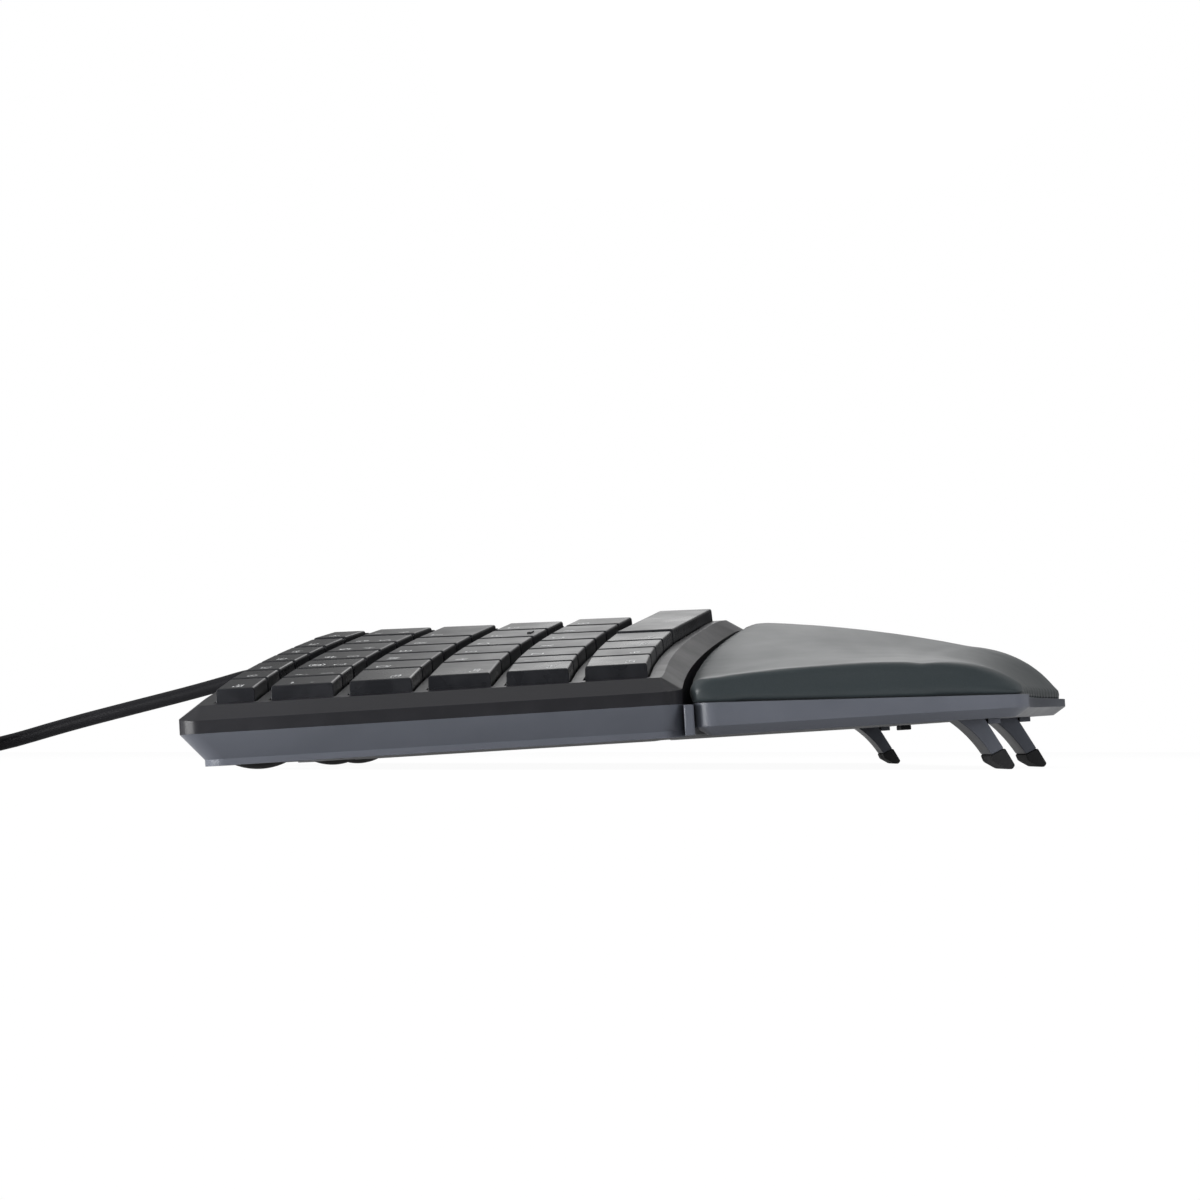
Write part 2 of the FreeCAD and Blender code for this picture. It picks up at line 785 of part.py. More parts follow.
def below_palm_top(lift=0.0):
    """Everything below the palm rest's sloping top plane."""
    rear = MARGIN
    front = PALM_SIDE - 2 * MARGIN
    points = [Vec(LEFT, front, -MARGIN), Vec(LEFT, rear, -MARGIN),
              Vec(LEFT, rear, palm_top_z(rear) + lift), Vec(LEFT, front, palm_top_z(front) + lift)]
    return face_of(points).extrude(Vec(RIGHT - LEFT, 0, 0))


class Leg:
    """One flip-out leg: where it turns, how long it is, and the well that it folds into."""

    def __init__(self, x, y):
        self.x = x
        self.y = y
        self.z = size("leg_pivot_height")
        self.rake = math.radians(size("leg_rake"))
        drop = self.z - ground_z(y) - size("tip_height")
        length = drop / (math.cos(self.rake) - math.sin(self.rake) * math.tan(LEAN))
        self.ankle = (length * math.sin(self.rake), -length * math.cos(self.rake))
        toe = self.ankle[0] + size("tip_toe")
        self.reach = math.hypot(toe, self.ground(toe))

    def ground(self, forward):
        """The desk's height from the pivot, some way in front of it."""
        return ground_z(self.y - forward) - self.z

    def well(self, grow):
        """The housing over the folded leg, or its outside grown a little."""
        wall = size("well_wall") + grow
        return self.hollow(wall, size("well_roof") + grow, 0)

    def pocket(self):
        return self.hollow(0, 0, -1)

    def hollow(self, wall, roof, z_low):
        """The room for the folded leg, grown by wall and roof; its front slopes over the head."""
        half = size("tip_width") / 2 + size("leg_side_clearance") + wall
        rear = self.y + self.reach + size("well_clearance") + wall
        front = self.y - size("leg_root") - size("well_clearance") - wall
        high = size("well_height") - size("well_roof") + roof
        room = (size("leg_heel") + size("well_clearance") + roof) * math.sqrt(2)
        slope_y = self.y - room + (high - self.z)
        points = [(front, z_low), (rear, z_low), (rear, high), (slope_y, high),
                  (front, high - (slope_y - front))]
        face = face_of([Vec(self.x - half, y, z) for y, z in points])
        return face.extrude(Vec(2 * half, 0, 0))

    def pivot_hole(self):
        half = PIVOT_LENGTH / 2 + size("leg_side_clearance") / 2
        return Part.makeCylinder(size("leg_pivot_radius") + size("leg_pivot_clearance"), 2 * half,
                                 Vec(self.x - half, self.y, self.z), Vec(1, 0, 0))

    def stop(self):
        """The block under the base that the open leg leans against."""
        rake = size("stop_height") * math.tan(self.rake)
        rear = self.y - size("leg_root") - rake - size("stop_gap")
        half = size("leg_width") / 2 - size("well_wall")
        return block(self.x - half, self.x + half, rear - size("stop_depth"), rear,
                     -size("stop_height"), size("palm_front_height") / 2)


PIVOT_LENGTH = size("tip_width") + 2 * size("leg_side_clearance") + 1.5 * size("well_wall")
PALM_REAR = CASE_FRONT - size("palm_gap")
LEG_Y = PALM_SIDE + size("leg_from_front")
LEGS = {
    "left": Leg(LEFT + size("leg_from_left"), LEG_Y),
    "centre": Leg(HUMP + size("leg_from_hump"), LEG_Y - size("leg_centre_forward")),
    "right": Leg(RIGHT - size("leg_from_right"), LEG_Y),
}


def palm_rest_base():
    """A shallow tray in front of the case, with a recessed neck, leg wells and leg stops."""
    corner = size("corner_radius")
    wall = size("palm_wall")
    floor = size("tray_floor")

    def ring(inset, z):
        return outline(PALM_REAR_CURVE, PALM_FRONT_CURVE, inset, inset, inset,
                       max(corner - inset, 1), z)

    base = prism(ring(0, 0), TALL).common(below_palm_top()).Solids[0]
    under = [edge for edge in base.Edges if edge.BoundBox.ZMax < size("stack_gap")]
    base = base.makeChamfer(size("palm_edge_height"), size("palm_edge_width"), under)
    base = base.cut(prism(ring(wall, floor), TALL))
    neck_rear = row_curve(size("case_depth") + size("stack_gap"))
    neck_front = row_curve(size("case_depth") + size("palm_gap") + size("stack_gap"))
    neck = outline(neck_rear, neck_front, 0, 0, size("neck_recess"), 0.5, size("neck_low"))
    base = base.fuse(prism(neck, TALL).common(below_palm_top(-size("neck_drop"))))
    for leg in LEGS.values():
        base = base.fuse(leg.well(0)).fuse(leg.stop())
    for leg in LEGS.values():
        base = base.cut(leg.pocket()).cut(leg.pivot_hole())
    for x, y in PALM_SCREWS:
        boss = Part.makeCylinder(size("boss_radius"), TALL, Vec(x, y, floor / 2))
        base = base.fuse(boss.common(below_palm_top()))
    for x, y in PALM_SCREWS:
        base = base.cut(screw_hole(x, y))
    return base


def pad_section(x, fullness, tuck):
    """The pad's outline at one place across: rear wall, crown, front roll, low front wall, base."""
    rear = PALM_REAR_CURVE.y(x) + size("palm_gap") - size("pad_rear_gap") - tuck
    front = PALM_FRONT_CURVE.y(x) + size("pad_rim") + rounding(PALM_FRONT_CURVE, x) + tuck
    low_rear = palm_top_z(rear)
    low_front = palm_top_z(front)
    radius = size("pad_edge_radius") * fullness
    top = low_rear + (deck_z(x) - size("pad_drop") - low_rear) * fullness
    shoulder_y = front + size("pad_roll")
    rise = deck_z(x) - deck_z(KEYS_LEFT)
    shoulder = size("pad_shoulder_height") + rise * size("pad_shoulder_share")
    shoulder = palm_top_z(shoulder_y) + (shoulder - palm_top_z(shoulder_y)) * fullness
    a = Vec(x, rear, low_rear)
    b = Vec(x, rear, top - radius)
    c = Vec(x, rear - radius, top)
    d = Vec(x, shoulder_y, shoulder)
    edge = size("pad_front_edge")
    e = Vec(x, front + edge / 2, low_front + size("pad_front_wall") + edge)
    f = Vec(x, front, low_front + size("pad_front_wall"))
    g = Vec(x, front, low_front)
    ef = (e + f) / 2 + Vec(0, -edge, edge / 2) * size("pad_fullness") * 1.5
    cut = radius * (1 - math.sqrt(0.5))
    bc = Vec(x, rear - cut, top - cut)
    cd = (c + d) / 2 + Vec(0, 0, size("pad_crown") * fullness)
    de = (d + e) / 2 + Vec(0, -(d.z - e.z), d.y - e.y) * size("pad_fullness")
    return Part.Wire([line(a, b), arc(b, bc, c), arc(c, cd, d), arc(d, de, e), arc(e, ef, f),
                      line(f, g), line(g, a)])


# How far along from each end to the hump the pad's full sections lie, closer where it bends
PAD_STATIONS_LEFT = [0.04, 0.1, 0.19, 0.33, 0.5, 0.66, 0.79, 0.89, 0.95, 1.0]
PAD_STATIONS_RIGHT = [0.02, 0.05, 0.1, 0.17, 0.26, 0.36, 0.47, 0.58, 0.69, 0.79, 0.87, 0.93, 0.975]


def palm_rest_pad():
    """A lofted cushion with drawn-in ends, hollowed underneath for the leg wells."""
    roll = size("pad_end_roll")
    stations = []
    for distance in [0, roll / 12, roll / 5, roll / 2]:
        rise = math.sqrt(1 - (1 - distance / roll) ** 2)
        fullness = size("pad_end_share") + (1 - size("pad_end_share")) * rise
        tuck = size("pad_end_tuck") * (1 - rise)
        stations.append((LEFT + size("pad_end_gap") + distance, fullness, tuck))
        stations.append((RIGHT - size("pad_end_gap") - distance, fullness, tuck))
    for share in PAD_STATIONS_LEFT:
        stations.append((LEFT + roll + share * (HUMP - LEFT - roll), 1.0, 0.0))
    for share in PAD_STATIONS_RIGHT:
        stations.append((RIGHT - roll - share * (RIGHT - roll - HUMP), 1.0, 0.0))
    stations.sort()
    pad = Part.makeLoft([pad_section(*station) for station in stations], True, False)
    for leg in LEGS.values():
        pad = pad.cut(leg.well(size("pad_well_gap")))
    return pad


# Places that several pieces share

def screws_x(shares):
    """Places across, as shares of the way from the screw at the left end to that at the right."""
    first = LEFT + size("screw_inset")
    return [first + share * (RIGHT - size("screw_inset") - first) for share in shares]


GUIDE_DROP = size("key_skirt") + size("key_travel") + size("travel_clearance")
DOME_DROP = size("stem_bottom") + size("key_travel") + size("dome_clearance")
STACK_BOTTOM = (DOME_DROP + size("dome_sheet_thickness") + size("membrane_thickness")
                + size("back_plate_thickness") + 2 * size("stack_gap"))
WALL_Y = CASE_REAR_CURVE.y(HUMP) + rounding(CASE_REAR_CURVE, HUMP)
CASE_SCREW_SHARES = [0.0, 0.149, 0.383, 0.594, 0.781, 1.0]
PALM_SCREW_SHARES = [0.0, 0.196, 0.547, 0.758, 1.0]
CASE_SCREWS = [(x, CASE_REAR_CURVE.y(x) - along) for x in screws_x(CASE_SCREW_SHARES)
               for along in (size("screw_from_rear"), size("case_depth") - size("screw_from_front"))]
PALM_SCREWS = [(x, PALM_REAR_CURVE.y(x) - size("palm_screw_from_rear"))
               for x in screws_x(PALM_SCREW_SHARES)]
LENS_X = (nav_keys[0][0].x_left + nav_keys[0][-1].x_right) / 2
LENS_Y = CASE_REAR_CURVE.y(LENS_X) - (row_rear_offset(3) + row_front_offset(3)) / 2

# Switch stack

def guide_plate():
    plate = tent_slab(GUIDE_DROP, size("guide_plate_thickness"),
                      size("case_wall") + 2 * size("stack_gap"))
    clearance = size("stem_clearance")
    holes = [face_of(key.stem(clearance)).extrude(Vec(0, 0, TALL)) for key in ALL_KEYS]
    room = size("case_wall") + size("flange_thickness") + size("relief_clearance")
    holes.append(Part.makeCylinder(size("flange_radius") + size("relief_clearance"), 2 * room,
                                   Vec(HUMP, WALL_Y - room, size("exit_height")), Vec(0, 1, 0)))
    return plate.cut(Part.makeCompound(holes))


def switch_sheet(above, thickness):
    return tent_slab(above, size(thickness), size("stack_inset"))


shaped("top_case", top_case())
shaped("bottom_case", bottom_case())
shaped("palm_rest_base", palm_rest_base())
shaped("palm_rest_pad", palm_rest_pad())
shaped("guide_plate", guide_plate())
drop = DOME_DROP
for label, thickness in (("dome_sheet", "dome_sheet_thickness"),
                         ("membrane", "membrane_thickness"),
                         ("back_plate", "back_plate_thickness")):
    shaped(label, switch_sheet(drop, thickness))
    drop += size(thickness) + size("stack_gap")

for label, keys in KEY_GROUPS.items():
    shaped(label, Part.makeCompound([key.cap() for key in keys]))


# Controller board, indicator lenses and screws

def rectangle_on(body, name, role, wide, deep):
    """A rectangle about the body's origin whose sides are bound to two cells."""
    half_wide = size(wide) / 2
    half_deep = size(deep) / 2
    corners = [(-half_wide, -half_deep), (half_wide, -half_deep),
               (half_wide, half_deep), (-half_wide, half_deep)]
    sketch = sketch_on(body, name, role, chain(corners))
    for side in range(4):
        sketch.addConstraint(Sketcher.Constraint("Coincident", side, 2, (side + 1) % 4, 1))
    for side in (0, 2):
        sketch.addConstraint(Sketcher.Constraint("Horizontal", side))
        sketch.addConstraint(Sketcher.Constraint("Vertical", side + 1))
    sketch.addConstraint(Sketcher.Constraint("Symmetric", 0, 1, 2, 1, -1, 1))
    across = sketch.addConstraint(Sketcher.Constraint("DistanceX", 0, 1, 0, 2, 2 * half_wide))
    along = sketch.addConstraint(Sketcher.Constraint("DistanceY", 1, 1, 1, 2, 2 * half_deep))
    sketch.setExpression("Constraints[%d]" % across, "Sizes." + wide)
    sketch.setExpression("Constraints[%d]" % along, "Sizes." + deep)
    return sketch


board = new_body("controller_board")
padded(board, rectangle_on(board, "board_outline", "XY_Plane", "board_length", "board_depth"),
       "Sizes.board_thickness")
board_x = HUMP + size("board_from_hump")
board_y = CASE_REAR_CURVE.y(board_x) - size("board_from_rear")
keep("controller_board", board, Placement(Vec(board_x, board_y, size("tray_floor")), Rotation()))


shaped("status_lenses", lenses(size("lens_radius"), size("deck_height") - size("deck_thickness"),
                               size("deck_height") + size("lens_stand")))


def screw_body(label):
    """A countersunk screw standing on its head."""
    body = new_body(label)
    head = size("screw_head_radius")
    shank = size("screw_radius")
    high = size("screw_head_height")
    profile = chain([(0, 0), (head, 0), (shank, high), (shank, size("screw_length")),
                     (0, size("screw_length"))])
    turned(body, sketch_on(body, label + "_profile", "XZ_Plane", profile), "V_Axis")
    return body


pattern_screw = screw_body("screw")
doc.recompute()
for label, places in (("case_screws", CASE_SCREWS), ("palm_rest_screws", PALM_SCREWS)):
    copies = []
    for x, y in places:
        copy = pattern_screw.Shape.copy()
        copy.translate(Vec(x, y, 0))
        copies.append(copy)
    shaped(label, Part.makeCompound(copies))


# Rear feet

for label, x in (("left_rear_foot", LEFT + size("foot_from_left")),
                 ("middle_rear_foot", HUMP + size("foot_from_hump")),
                 ("right_rear_foot", RIGHT - size("foot_from_right"))):
    foot = new_body(label)
    radius = size("foot_radius")
    dome = [Part.LineSegment(Vec(0, 0, 0), Vec(radius, 0, 0)),
            Part.ArcOfCircle(Part.Circle(Vec(0, FOOT_BALL - size("foot_height"), 0), Vec(0, 0, 1),
                                         FOOT_BALL),
                             -math.pi / 2, -math.acos(radius / FOOT_BALL)),
            Part.LineSegment(Vec(0, -size("foot_height"), 0), Vec(0, 0, 0))]
    turned(foot, sketch_on(foot, label + "_profile", "XZ_Plane", dome), "V_Axis")
    keep(label, foot, Placement(Vec(x, FOOT_Y, 0), Rotation()))


# Rubber strip under the palm rest, for when the legs are folded

strip = new_body("palm_rest_strip")
padded(strip, rectangle_on(strip, "strip_outline", "XY_Plane", "strip_width", "strip_depth"),
       "Sizes.strip_height")
strip_x = HUMP + size("strip_from_hump")
strip_y = PALM_FRONT_CURVE.y(strip_x) + size("strip_from_front")
keep("palm_rest_strip", strip, Placement(Vec(strip_x, strip_y, -size("strip_height")), Rotation()))


# Flip-out legs: drawn from the pivot, forward along -Y, in the plane square to X

def arc_through(a, b, c):
    return Part.Arc(Vec(a[0], a[1], 0), Vec(b[0], b[1], 0), Vec(c[0], c[1], 0))


def segment(a, b):
    return Part.LineSegment(Vec(a[0], a[1], 0), Vec(b[0], b[1], 0))


def leg_profile(leg):
    """Head round the pivot, heel, hollow rear edge, ankle and straight front edge, as (y, z)."""
    head = size("leg_head_radius")
    root = (-size("leg_root"), -size("leg_pivot_height"))
    front, rear = ankle_ends(leg, 0)
    heel = (size("leg_heel"), -size("leg_heel_drop"))
    inwards = size("leg_hollow") * math.sqrt(0.5)
    hollow = ((rear[0] + heel[0]) / 2 - inwards, (rear[1] + heel[1]) / 2 + inwards)
    return [
        arc_through((-head, 0), (0, head), (head, 0)),
        segment((head, 0), heel),
        arc_through(heel, hollow, rear),
        segment(rear, front),
        segment(front, root),
        segment(root, (-head, 0)),
    ]


def ankle_ends(leg, grow):
    """Front and rear ends of the seam between leg and rubber tip."""
    half = size("leg_ankle") / 2 + grow
    tilt = math.radians(size("ankle_tilt"))
    y = -leg.ankle[0]
    z = leg.ankle[1]
    return ((y - half * math.cos(tilt), z + half * math.sin(tilt)),
            (y + half * math.cos(tilt), z - half * math.sin(tilt)))


def tip_profile(leg):
    front, rear = ankle_ends(leg, size("tip_overhang"))
    toe = leg.ankle[0] + size("tip_toe")
    heel = leg.ankle[0] + size("tip_heel")
    ground_toe = (-toe, leg.ground(toe))
    ground_heel = (-heel, leg.ground(heel))
    nose = (-toe - size("tip_nose"), leg.ground(toe) + size("tip_nose_height"))
    back = (rear[0] - size("tip_back"), rear[1] - size("tip_back_height"))
    return chain([rear, back, ground_heel, ground_toe, nose, front])


def round_pin(radius):
    return [Part.Circle(Vec(0, 0, 0), Vec(0, 0, 1), radius)]


for name, leg in LEGS.items():
    label = name + "_leg"
    limb = new_body(label)
    padded(limb, sketch_on(limb, label + "_profile", "YZ_Plane", leg_profile(leg)),
           "Sizes.leg_width", True)
    padded(limb, sketch_on(limb, label + "_pivot", "YZ_Plane", round_pin(size("leg_pivot_radius"))),
           "Sizes.tip_width + 2 * Sizes.leg_side_clearance + 1.5 * Sizes.well_wall", True)
    place = Placement(Vec(leg.x, leg.y, leg.z), Rotation())
    keep(label, limb, place)
    tip = new_body(label + "_tip")
    padded(tip, sketch_on(tip, label + "_tip_profile", "YZ_Plane", tip_profile(leg)),
           "Sizes.tip_width", True)
    keep(label + "_tip", tip, place)


# Strain relief: a tapered sleeve with a flange inside the rear wall

relief = new_body("strain_relief")
wall = size("case_wall")
relief_profile = chain([
    (0, -wall - size("flange_thickness")),
    (size("flange_radius"), -wall - size("flange_thickness")),
    (size("flange_radius"), -wall - size("stack_gap")),
    (size("relief_radius"), -wall - size("stack_gap")),
    (size("relief_radius"), size("flange_thickness")),
    (size("relief_tip_radius"), size("relief_length")),
    (0, size("relief_length")),
])
turned(relief, sketch_on(relief, "relief_profile", "XZ_Plane", relief_profile), "V_Axis")
keep("strain_relief", relief,
     Placement(Vec(HUMP, WALL_Y, size("exit_height")), Rotation(Vec(1, 0, 0), -90)))
doc.recompute()


# Where the leaning keyboard stands: its footprint is centred on the origin

def placed(place, leans):
    return lean.multiply(place) if leans else place


footprint = FreeCAD.BoundBox()
for item, place, leans in pieces.values():
    shape = item.Shape.copy()
    shape.Placement = placed(place, leans)
    footprint.add(shape.optimalBoundingBox(False))
lean.Base.y = -(footprint.YMin + footprint.YMax) / 2
lean.Base.x = -(footprint.XMin + footprint.XMax) / 2


# Lead: from the strain relief down to the desk and along it, then wound up with its plug

EXIT = lean.multVec(Vec(HUMP, WALL_Y + size("relief_length"), size("exit_height")))
CORD_Z = size("cord_radius") + size("coil_lift")
COIL_PITCH = 2 * size("cord_radius") + size("coil_gap")
COIL_HALF_TURNS = [6, 5, 5, 4]
COIL_TOP = CORD_Z + (len(COIL_HALF_TURNS) - 1) * COIL_PITCH + size("cord_radius")
PLUG_Z = COIL_TOP + size("tie_clearance") + size("plug_thickness") / 2
COIL_X = HUMP - size("coil_radius")
COIL_Y = size("coil_y")
# Shares of the way from the exit to the coil, and of the height there above the lying cord
CORD_SHARES = [(0.0, 1.0), (0.046, 0.982), (0.117, 0.881), (0.211, 0.756), (0.363, 0.573),
               (0.533, 0.364), (0.712, 0.109), (0.863, 0.018), (1.0, 0.0)]
CORD_REACH = COIL_Y - 2 * size("cord_radius") - EXIT.y
CORD_ROUTE = [Vec(HUMP, EXIT.y + along * CORD_REACH, CORD_Z + high * (EXIT.z - CORD_Z))
              for along, high in CORD_SHARES]


def route_wire(points):
    """Straight runs joined by tangent arcs; returns the wire and the arcs' radii."""
    edges = []
    radii = []
    start = points[0]
    for before, corner, after in zip(points, points[1:], points[2:]):
        into = (corner - before).normalize()
        out = (after - corner).normalize()
        turn = into.getAngle(out)
        cut = 0.45 * min(corner.distanceToPoint(before), corner.distanceToPoint(after))
        radius = cut / math.tan(turn / 2)
        first = corner - into * cut
        last = corner + out * cut
        inward = (out - into).normalize()
        middle = corner + inward * (radius / math.cos(turn / 2) - radius)
        edges.append(line(start, first))
        edges.append(arc(first, middle, last))
        radii.append(radius)
        start = last
    edges.append(line(start, points[-1]))
    return Part.Wire(edges), radii


def tube(wire, start, direction):
    """A round cord along the wire."""
    circle = Part.Wire([Part.makeCircle(size("cord_radius"), start, direction)])
    return wire.makePipeShell([circle], True, False)


def half_turn(start, way, end):
    """A half turn with an even climb, as two equal quarter arcs; returns edges and the way out."""
    half = start.distanceToPoint(end) / 2
    first = start + way * half
    last = end + way * half
    middle = (first + last) / 2
    lean_way = (last - first).normalize()
    edges = []
    for begin, finish, tangent in ((start, middle, way), (middle, end, lean_way)):
        to = finish - begin
        chord = to.Length
        angle = tangent.getAngle(to)
        normal = (to - tangent * to.dot(tangent)).normalize()
        bulge = (begin + finish) / 2 - (normal * math.cos(angle) - tangent * math.sin(angle)) * (
            chord / 2 * math.tan(angle / 2))
        edges.append(arc(begin, bulge, finish))
    return edges, way * -1


def coil_path():
    """The wound lead: layers that spiral in and out, then up onto them to the plug."""
    centre = Vec(COIL_X, COIL_Y, 0)
    radius = size("coil_radius")
    height = CORD_Z
    side = 1
    way = Vec(0, 1, 0)
    point = centre + Vec(radius, 0, height)
    start = point - way * (2 * size("cord_radius"))
    edges = [line(start, point)]
    stops = []
    inwards = -1
    for layer, half_turns in enumerate(COIL_HALF_TURNS):
        for turn in range(half_turns):
            radius += inwards * COIL_PITCH / 2
            stops.append((radius, height))
        height += COIL_PITCH
        inwards = -inwards
        if layer < len(COIL_HALF_TURNS) - 1:
            stops.append((radius, height))
    stops.append((radius, PLUG_Z))
    for radius, height in stops:
        side = -side
        end = centre + Vec(side * radius, 0, height)
        arcs, way = half_turn(point, way, end)
        edges += arcs
        point = end
    finish = point + way * (2 * size("cord_radius"))
    edges.append(line(point, finish))
    return Part.Wire(edges), start, finish, way


def self_gap(wire, pitch):
    """Least distance between the cord's surfaces, between places well apart along it."""
    points = wire.discretize(Distance=pitch)
    least = 1e9
    skip = int(2 * math.pi * size("coil_radius") / 4 / pitch)
    for i, point in enumerate(points):
        for other in points[i + skip:]:
            least = min(least, point.distanceToPoint(other))
    return least - 2 * size("cord_radius")


def report_tube(label, shape, wire):
    expected = math.pi * size("cord_radius") ** 2 * wire.Length
    print(label, "length", round(wire.Length, 1), "volume share", round(shape.Volume / expected, 4))


cord_wire, cord_radii = route_wire(CORD_ROUTE)
cord = tube(cord_wire, CORD_ROUTE[0], CORD_ROUTE[1] - CORD_ROUTE[0])
shaped("cord", cord, leans=False)
report_tube("cord", cord, cord_wire)
print("cord radii", [round(radius, 1) for radius in cord_radii])
print("cord route", [[round(c, 2) for c in point] for point in CORD_ROUTE])

coil_wire, coil_start, plug_start, plug_way = coil_path()
coil = tube(coil_wire, coil_start, Vec(0, 1, 0))
shaped("cord_coil", coil, leans=False)
report_tube("coil", coil, coil_wire)
print("coil self gap", round(self_gap(coil_wire, size("cord_radius")), 2))


# Tie round the coil's bundle on the side where the lead arrives

TIE_LOW = size("coil_lift") - size("tie_clearance")
tie_inner = (size("coil_radius") - COIL_HALF_TURNS[0] / 2 * COIL_PITCH
             - size("cord_radius") - size("tie_clearance"))
tie_outer = size("coil_radius") + size("cord_radius") + size("tie_clearance")
tie_top = COIL_TOP + size("tie_clearance")
thick = size("tie_thickness")
hole = block(COIL_X + tie_inner, COIL_X + tie_outer, COIL_Y - MARGIN, COIL_Y + MARGIN,
             TIE_LOW, tie_top)
half_tie = size("tie_width") / 2
strap = block(COIL_X + tie_inner - thick, COIL_X + tie_outer + thick, COIL_Y - half_tie,
              COIL_Y + half_tie, TIE_LOW - thick, tie_top + thick)
shaped("cord_tie", strap.cut(hole), leans=False)


# Plug: a moulded grip with a tapered neck, and a folded metal shell with its tongue

def rounded_bar(width, thickness, start, length, corner):
    bar = Part.makeBox(width, length, thickness, Vec(-width / 2, start, -thickness / 2))
    along = [edge for edge in bar.Edges if abs(edge.tangentAt(edge.FirstParameter).y) > 0.9]
    return bar.makeFillet(corner, along)


neck = Part.makeCone(size("relief_tip_radius"), size("relief_radius"),
                     size("plug_neck_length"), Vec(0, 0, 0), Vec(0, 1, 0))
grip = rounded_bar(size("plug_width"), size("plug_thickness"), size("plug_neck_length"),
                   size("plug_length"), size("plug_corner"))
plug_place = Placement(plug_start, Rotation(Vec(0, 1, 0), plug_way))
shaped("plug_grip", neck.fuse(grip).removeSplitter(), plug_place, False)
wall = size("shell_wall")
inner_width = size("shell_width") - 2 * wall
inner_thickness = size("shell_thickness") - 2 * wall
shell_start = size("plug_neck_length") + size("plug_length") + size("stack_gap")
shell = rounded_bar(size("shell_width"), size("shell_thickness"), shell_start,
                    size("shell_length"), size("shell_corner"))
inside = rounded_bar(inner_width, inner_thickness, shell_start - wall,
                     size("shell_length") + 2 * wall, size("shell_corner") - wall / 2)
shaped("plug_shell", shell.cut(inside), plug_place, False)
tongue_width = inner_width - 2 * size("stack_gap")
tongue = Part.makeBox(tongue_width, size("shell_length") - size("tongue_recess"),
                      inner_thickness / 2 - size("stack_gap"),
                      Vec(-tongue_width / 2, shell_start, 0))
shaped("plug_tongue", tongue, plug_place, False)
doc.recompute()

for label, (item, place, leans) in pieces.items():
    item.Placement = placed(place, leans)
doc.recompute()

failed = [item.Label for item in doc.Objects if "Invalid" in item.State or "Error" in item.State]
for label, (item, place, leans) in pieces.items():
    if item.Shape.isNull() or not item.Shape.isValid() or not item.Shape.Solids:
        failed.append(label)
if failed:
    raise RuntimeError("failed pieces: " + ", ".join(failed))

os.makedirs("parts", exist_ok=True)
for label, (item, place, leans) in pieces.items():
    item.Shape.exportStep("parts/%s.step" % label)
print(len(pieces), "pieces")
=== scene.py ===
import json
import math

import bmesh
import bpy
import numpy as np
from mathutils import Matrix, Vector
from mathutils.bvhtree import BVHTree


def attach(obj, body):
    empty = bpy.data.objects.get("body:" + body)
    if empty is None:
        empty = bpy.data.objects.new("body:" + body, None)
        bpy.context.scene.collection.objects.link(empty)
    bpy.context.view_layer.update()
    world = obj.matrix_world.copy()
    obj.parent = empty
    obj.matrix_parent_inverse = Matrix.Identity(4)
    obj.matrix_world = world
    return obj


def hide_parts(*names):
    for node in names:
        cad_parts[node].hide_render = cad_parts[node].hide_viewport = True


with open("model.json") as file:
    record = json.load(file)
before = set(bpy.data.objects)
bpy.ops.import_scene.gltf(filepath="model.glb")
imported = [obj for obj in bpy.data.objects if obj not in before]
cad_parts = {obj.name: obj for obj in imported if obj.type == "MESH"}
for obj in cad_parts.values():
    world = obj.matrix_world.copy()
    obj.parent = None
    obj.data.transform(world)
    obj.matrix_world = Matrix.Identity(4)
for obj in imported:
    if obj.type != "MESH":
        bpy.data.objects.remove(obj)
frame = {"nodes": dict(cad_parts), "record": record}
NODES = frame["nodes"]
BODY_OF = {node: body for body, nodes in frame["record"]["behaviour"]["bodies"].items()
           for node in nodes}
CASING = "keyboard"
KEY_NODES = [node for node in NODES if node.endswith(("_key", "_keys"))]
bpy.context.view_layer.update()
scene = bpy.context.scene
scene.view_settings.view_transform = "Standard"
MM = 0.001
SAME_PLACE = 0.01 * MM


# Camera: level with the desk on the user's left, looking across the keyboard

IMAGE_SIZE = 1200
FOCAL_PIXELS = 3730
SENSOR_WIDTH = 36
CLIP_NEAR = 0.01
CLIP_FAR = 50
CAMERA_PLACE = Vector((-1.11965, 0.01375, 0.00483))
CAMERA_PITCH = math.radians(2.295)


def make_camera():
    """The camera of the photograph."""
    data = bpy.data.cameras.new("camera")
    data.sensor_width = SENSOR_WIDTH
    data.lens = FOCAL_PIXELS / IMAGE_SIZE * SENSOR_WIDTH
    data.clip_start = CLIP_NEAR
    data.clip_end = CLIP_FAR
    camera = bpy.data.objects.new("camera", data)
    camera.location = CAMERA_PLACE
    camera.rotation_euler = (math.radians(90) + CAMERA_PITCH, 0, math.radians(-90))
    scene.collection.objects.link(camera)
    scene.camera = camera


# Lead: the free stretch's points are listed, the coil's are worked out

CORD_RADIUS = 2 * MM
CORD_ORDER = 3
CORD_SMOOTHNESS = 4
CORD_ROUNDNESS = 5
CORD_ROUTE = [
    (-80.0, 106.03, 25.91),
    (-80.0, 110.92, 25.51),
    (-80.0, 118.48, 23.23),
    (-80.0, 128.49, 20.42),
    (-80.0, 144.68, 16.3),
    (-80.0, 162.78, 11.59),
    (-80.0, 181.84, 5.85),
    (-80.0, 197.91, 3.81),
    (-80.0, 212.5, 3.4),
]
COIL_RADIUS = 29.6
COIL_PITCH = 5.25
COIL_CENTRE = (-109.6, 216.5)
COIL_HALF_TURNS = [6, 5, 5, 4]
COIL_LOW = 3.4
PLUG_HEIGHT = 25.3
PLUG_START = 4.0
POINTS_PER_HALF_TURN = 8
WIDENING_POWER = 1.5


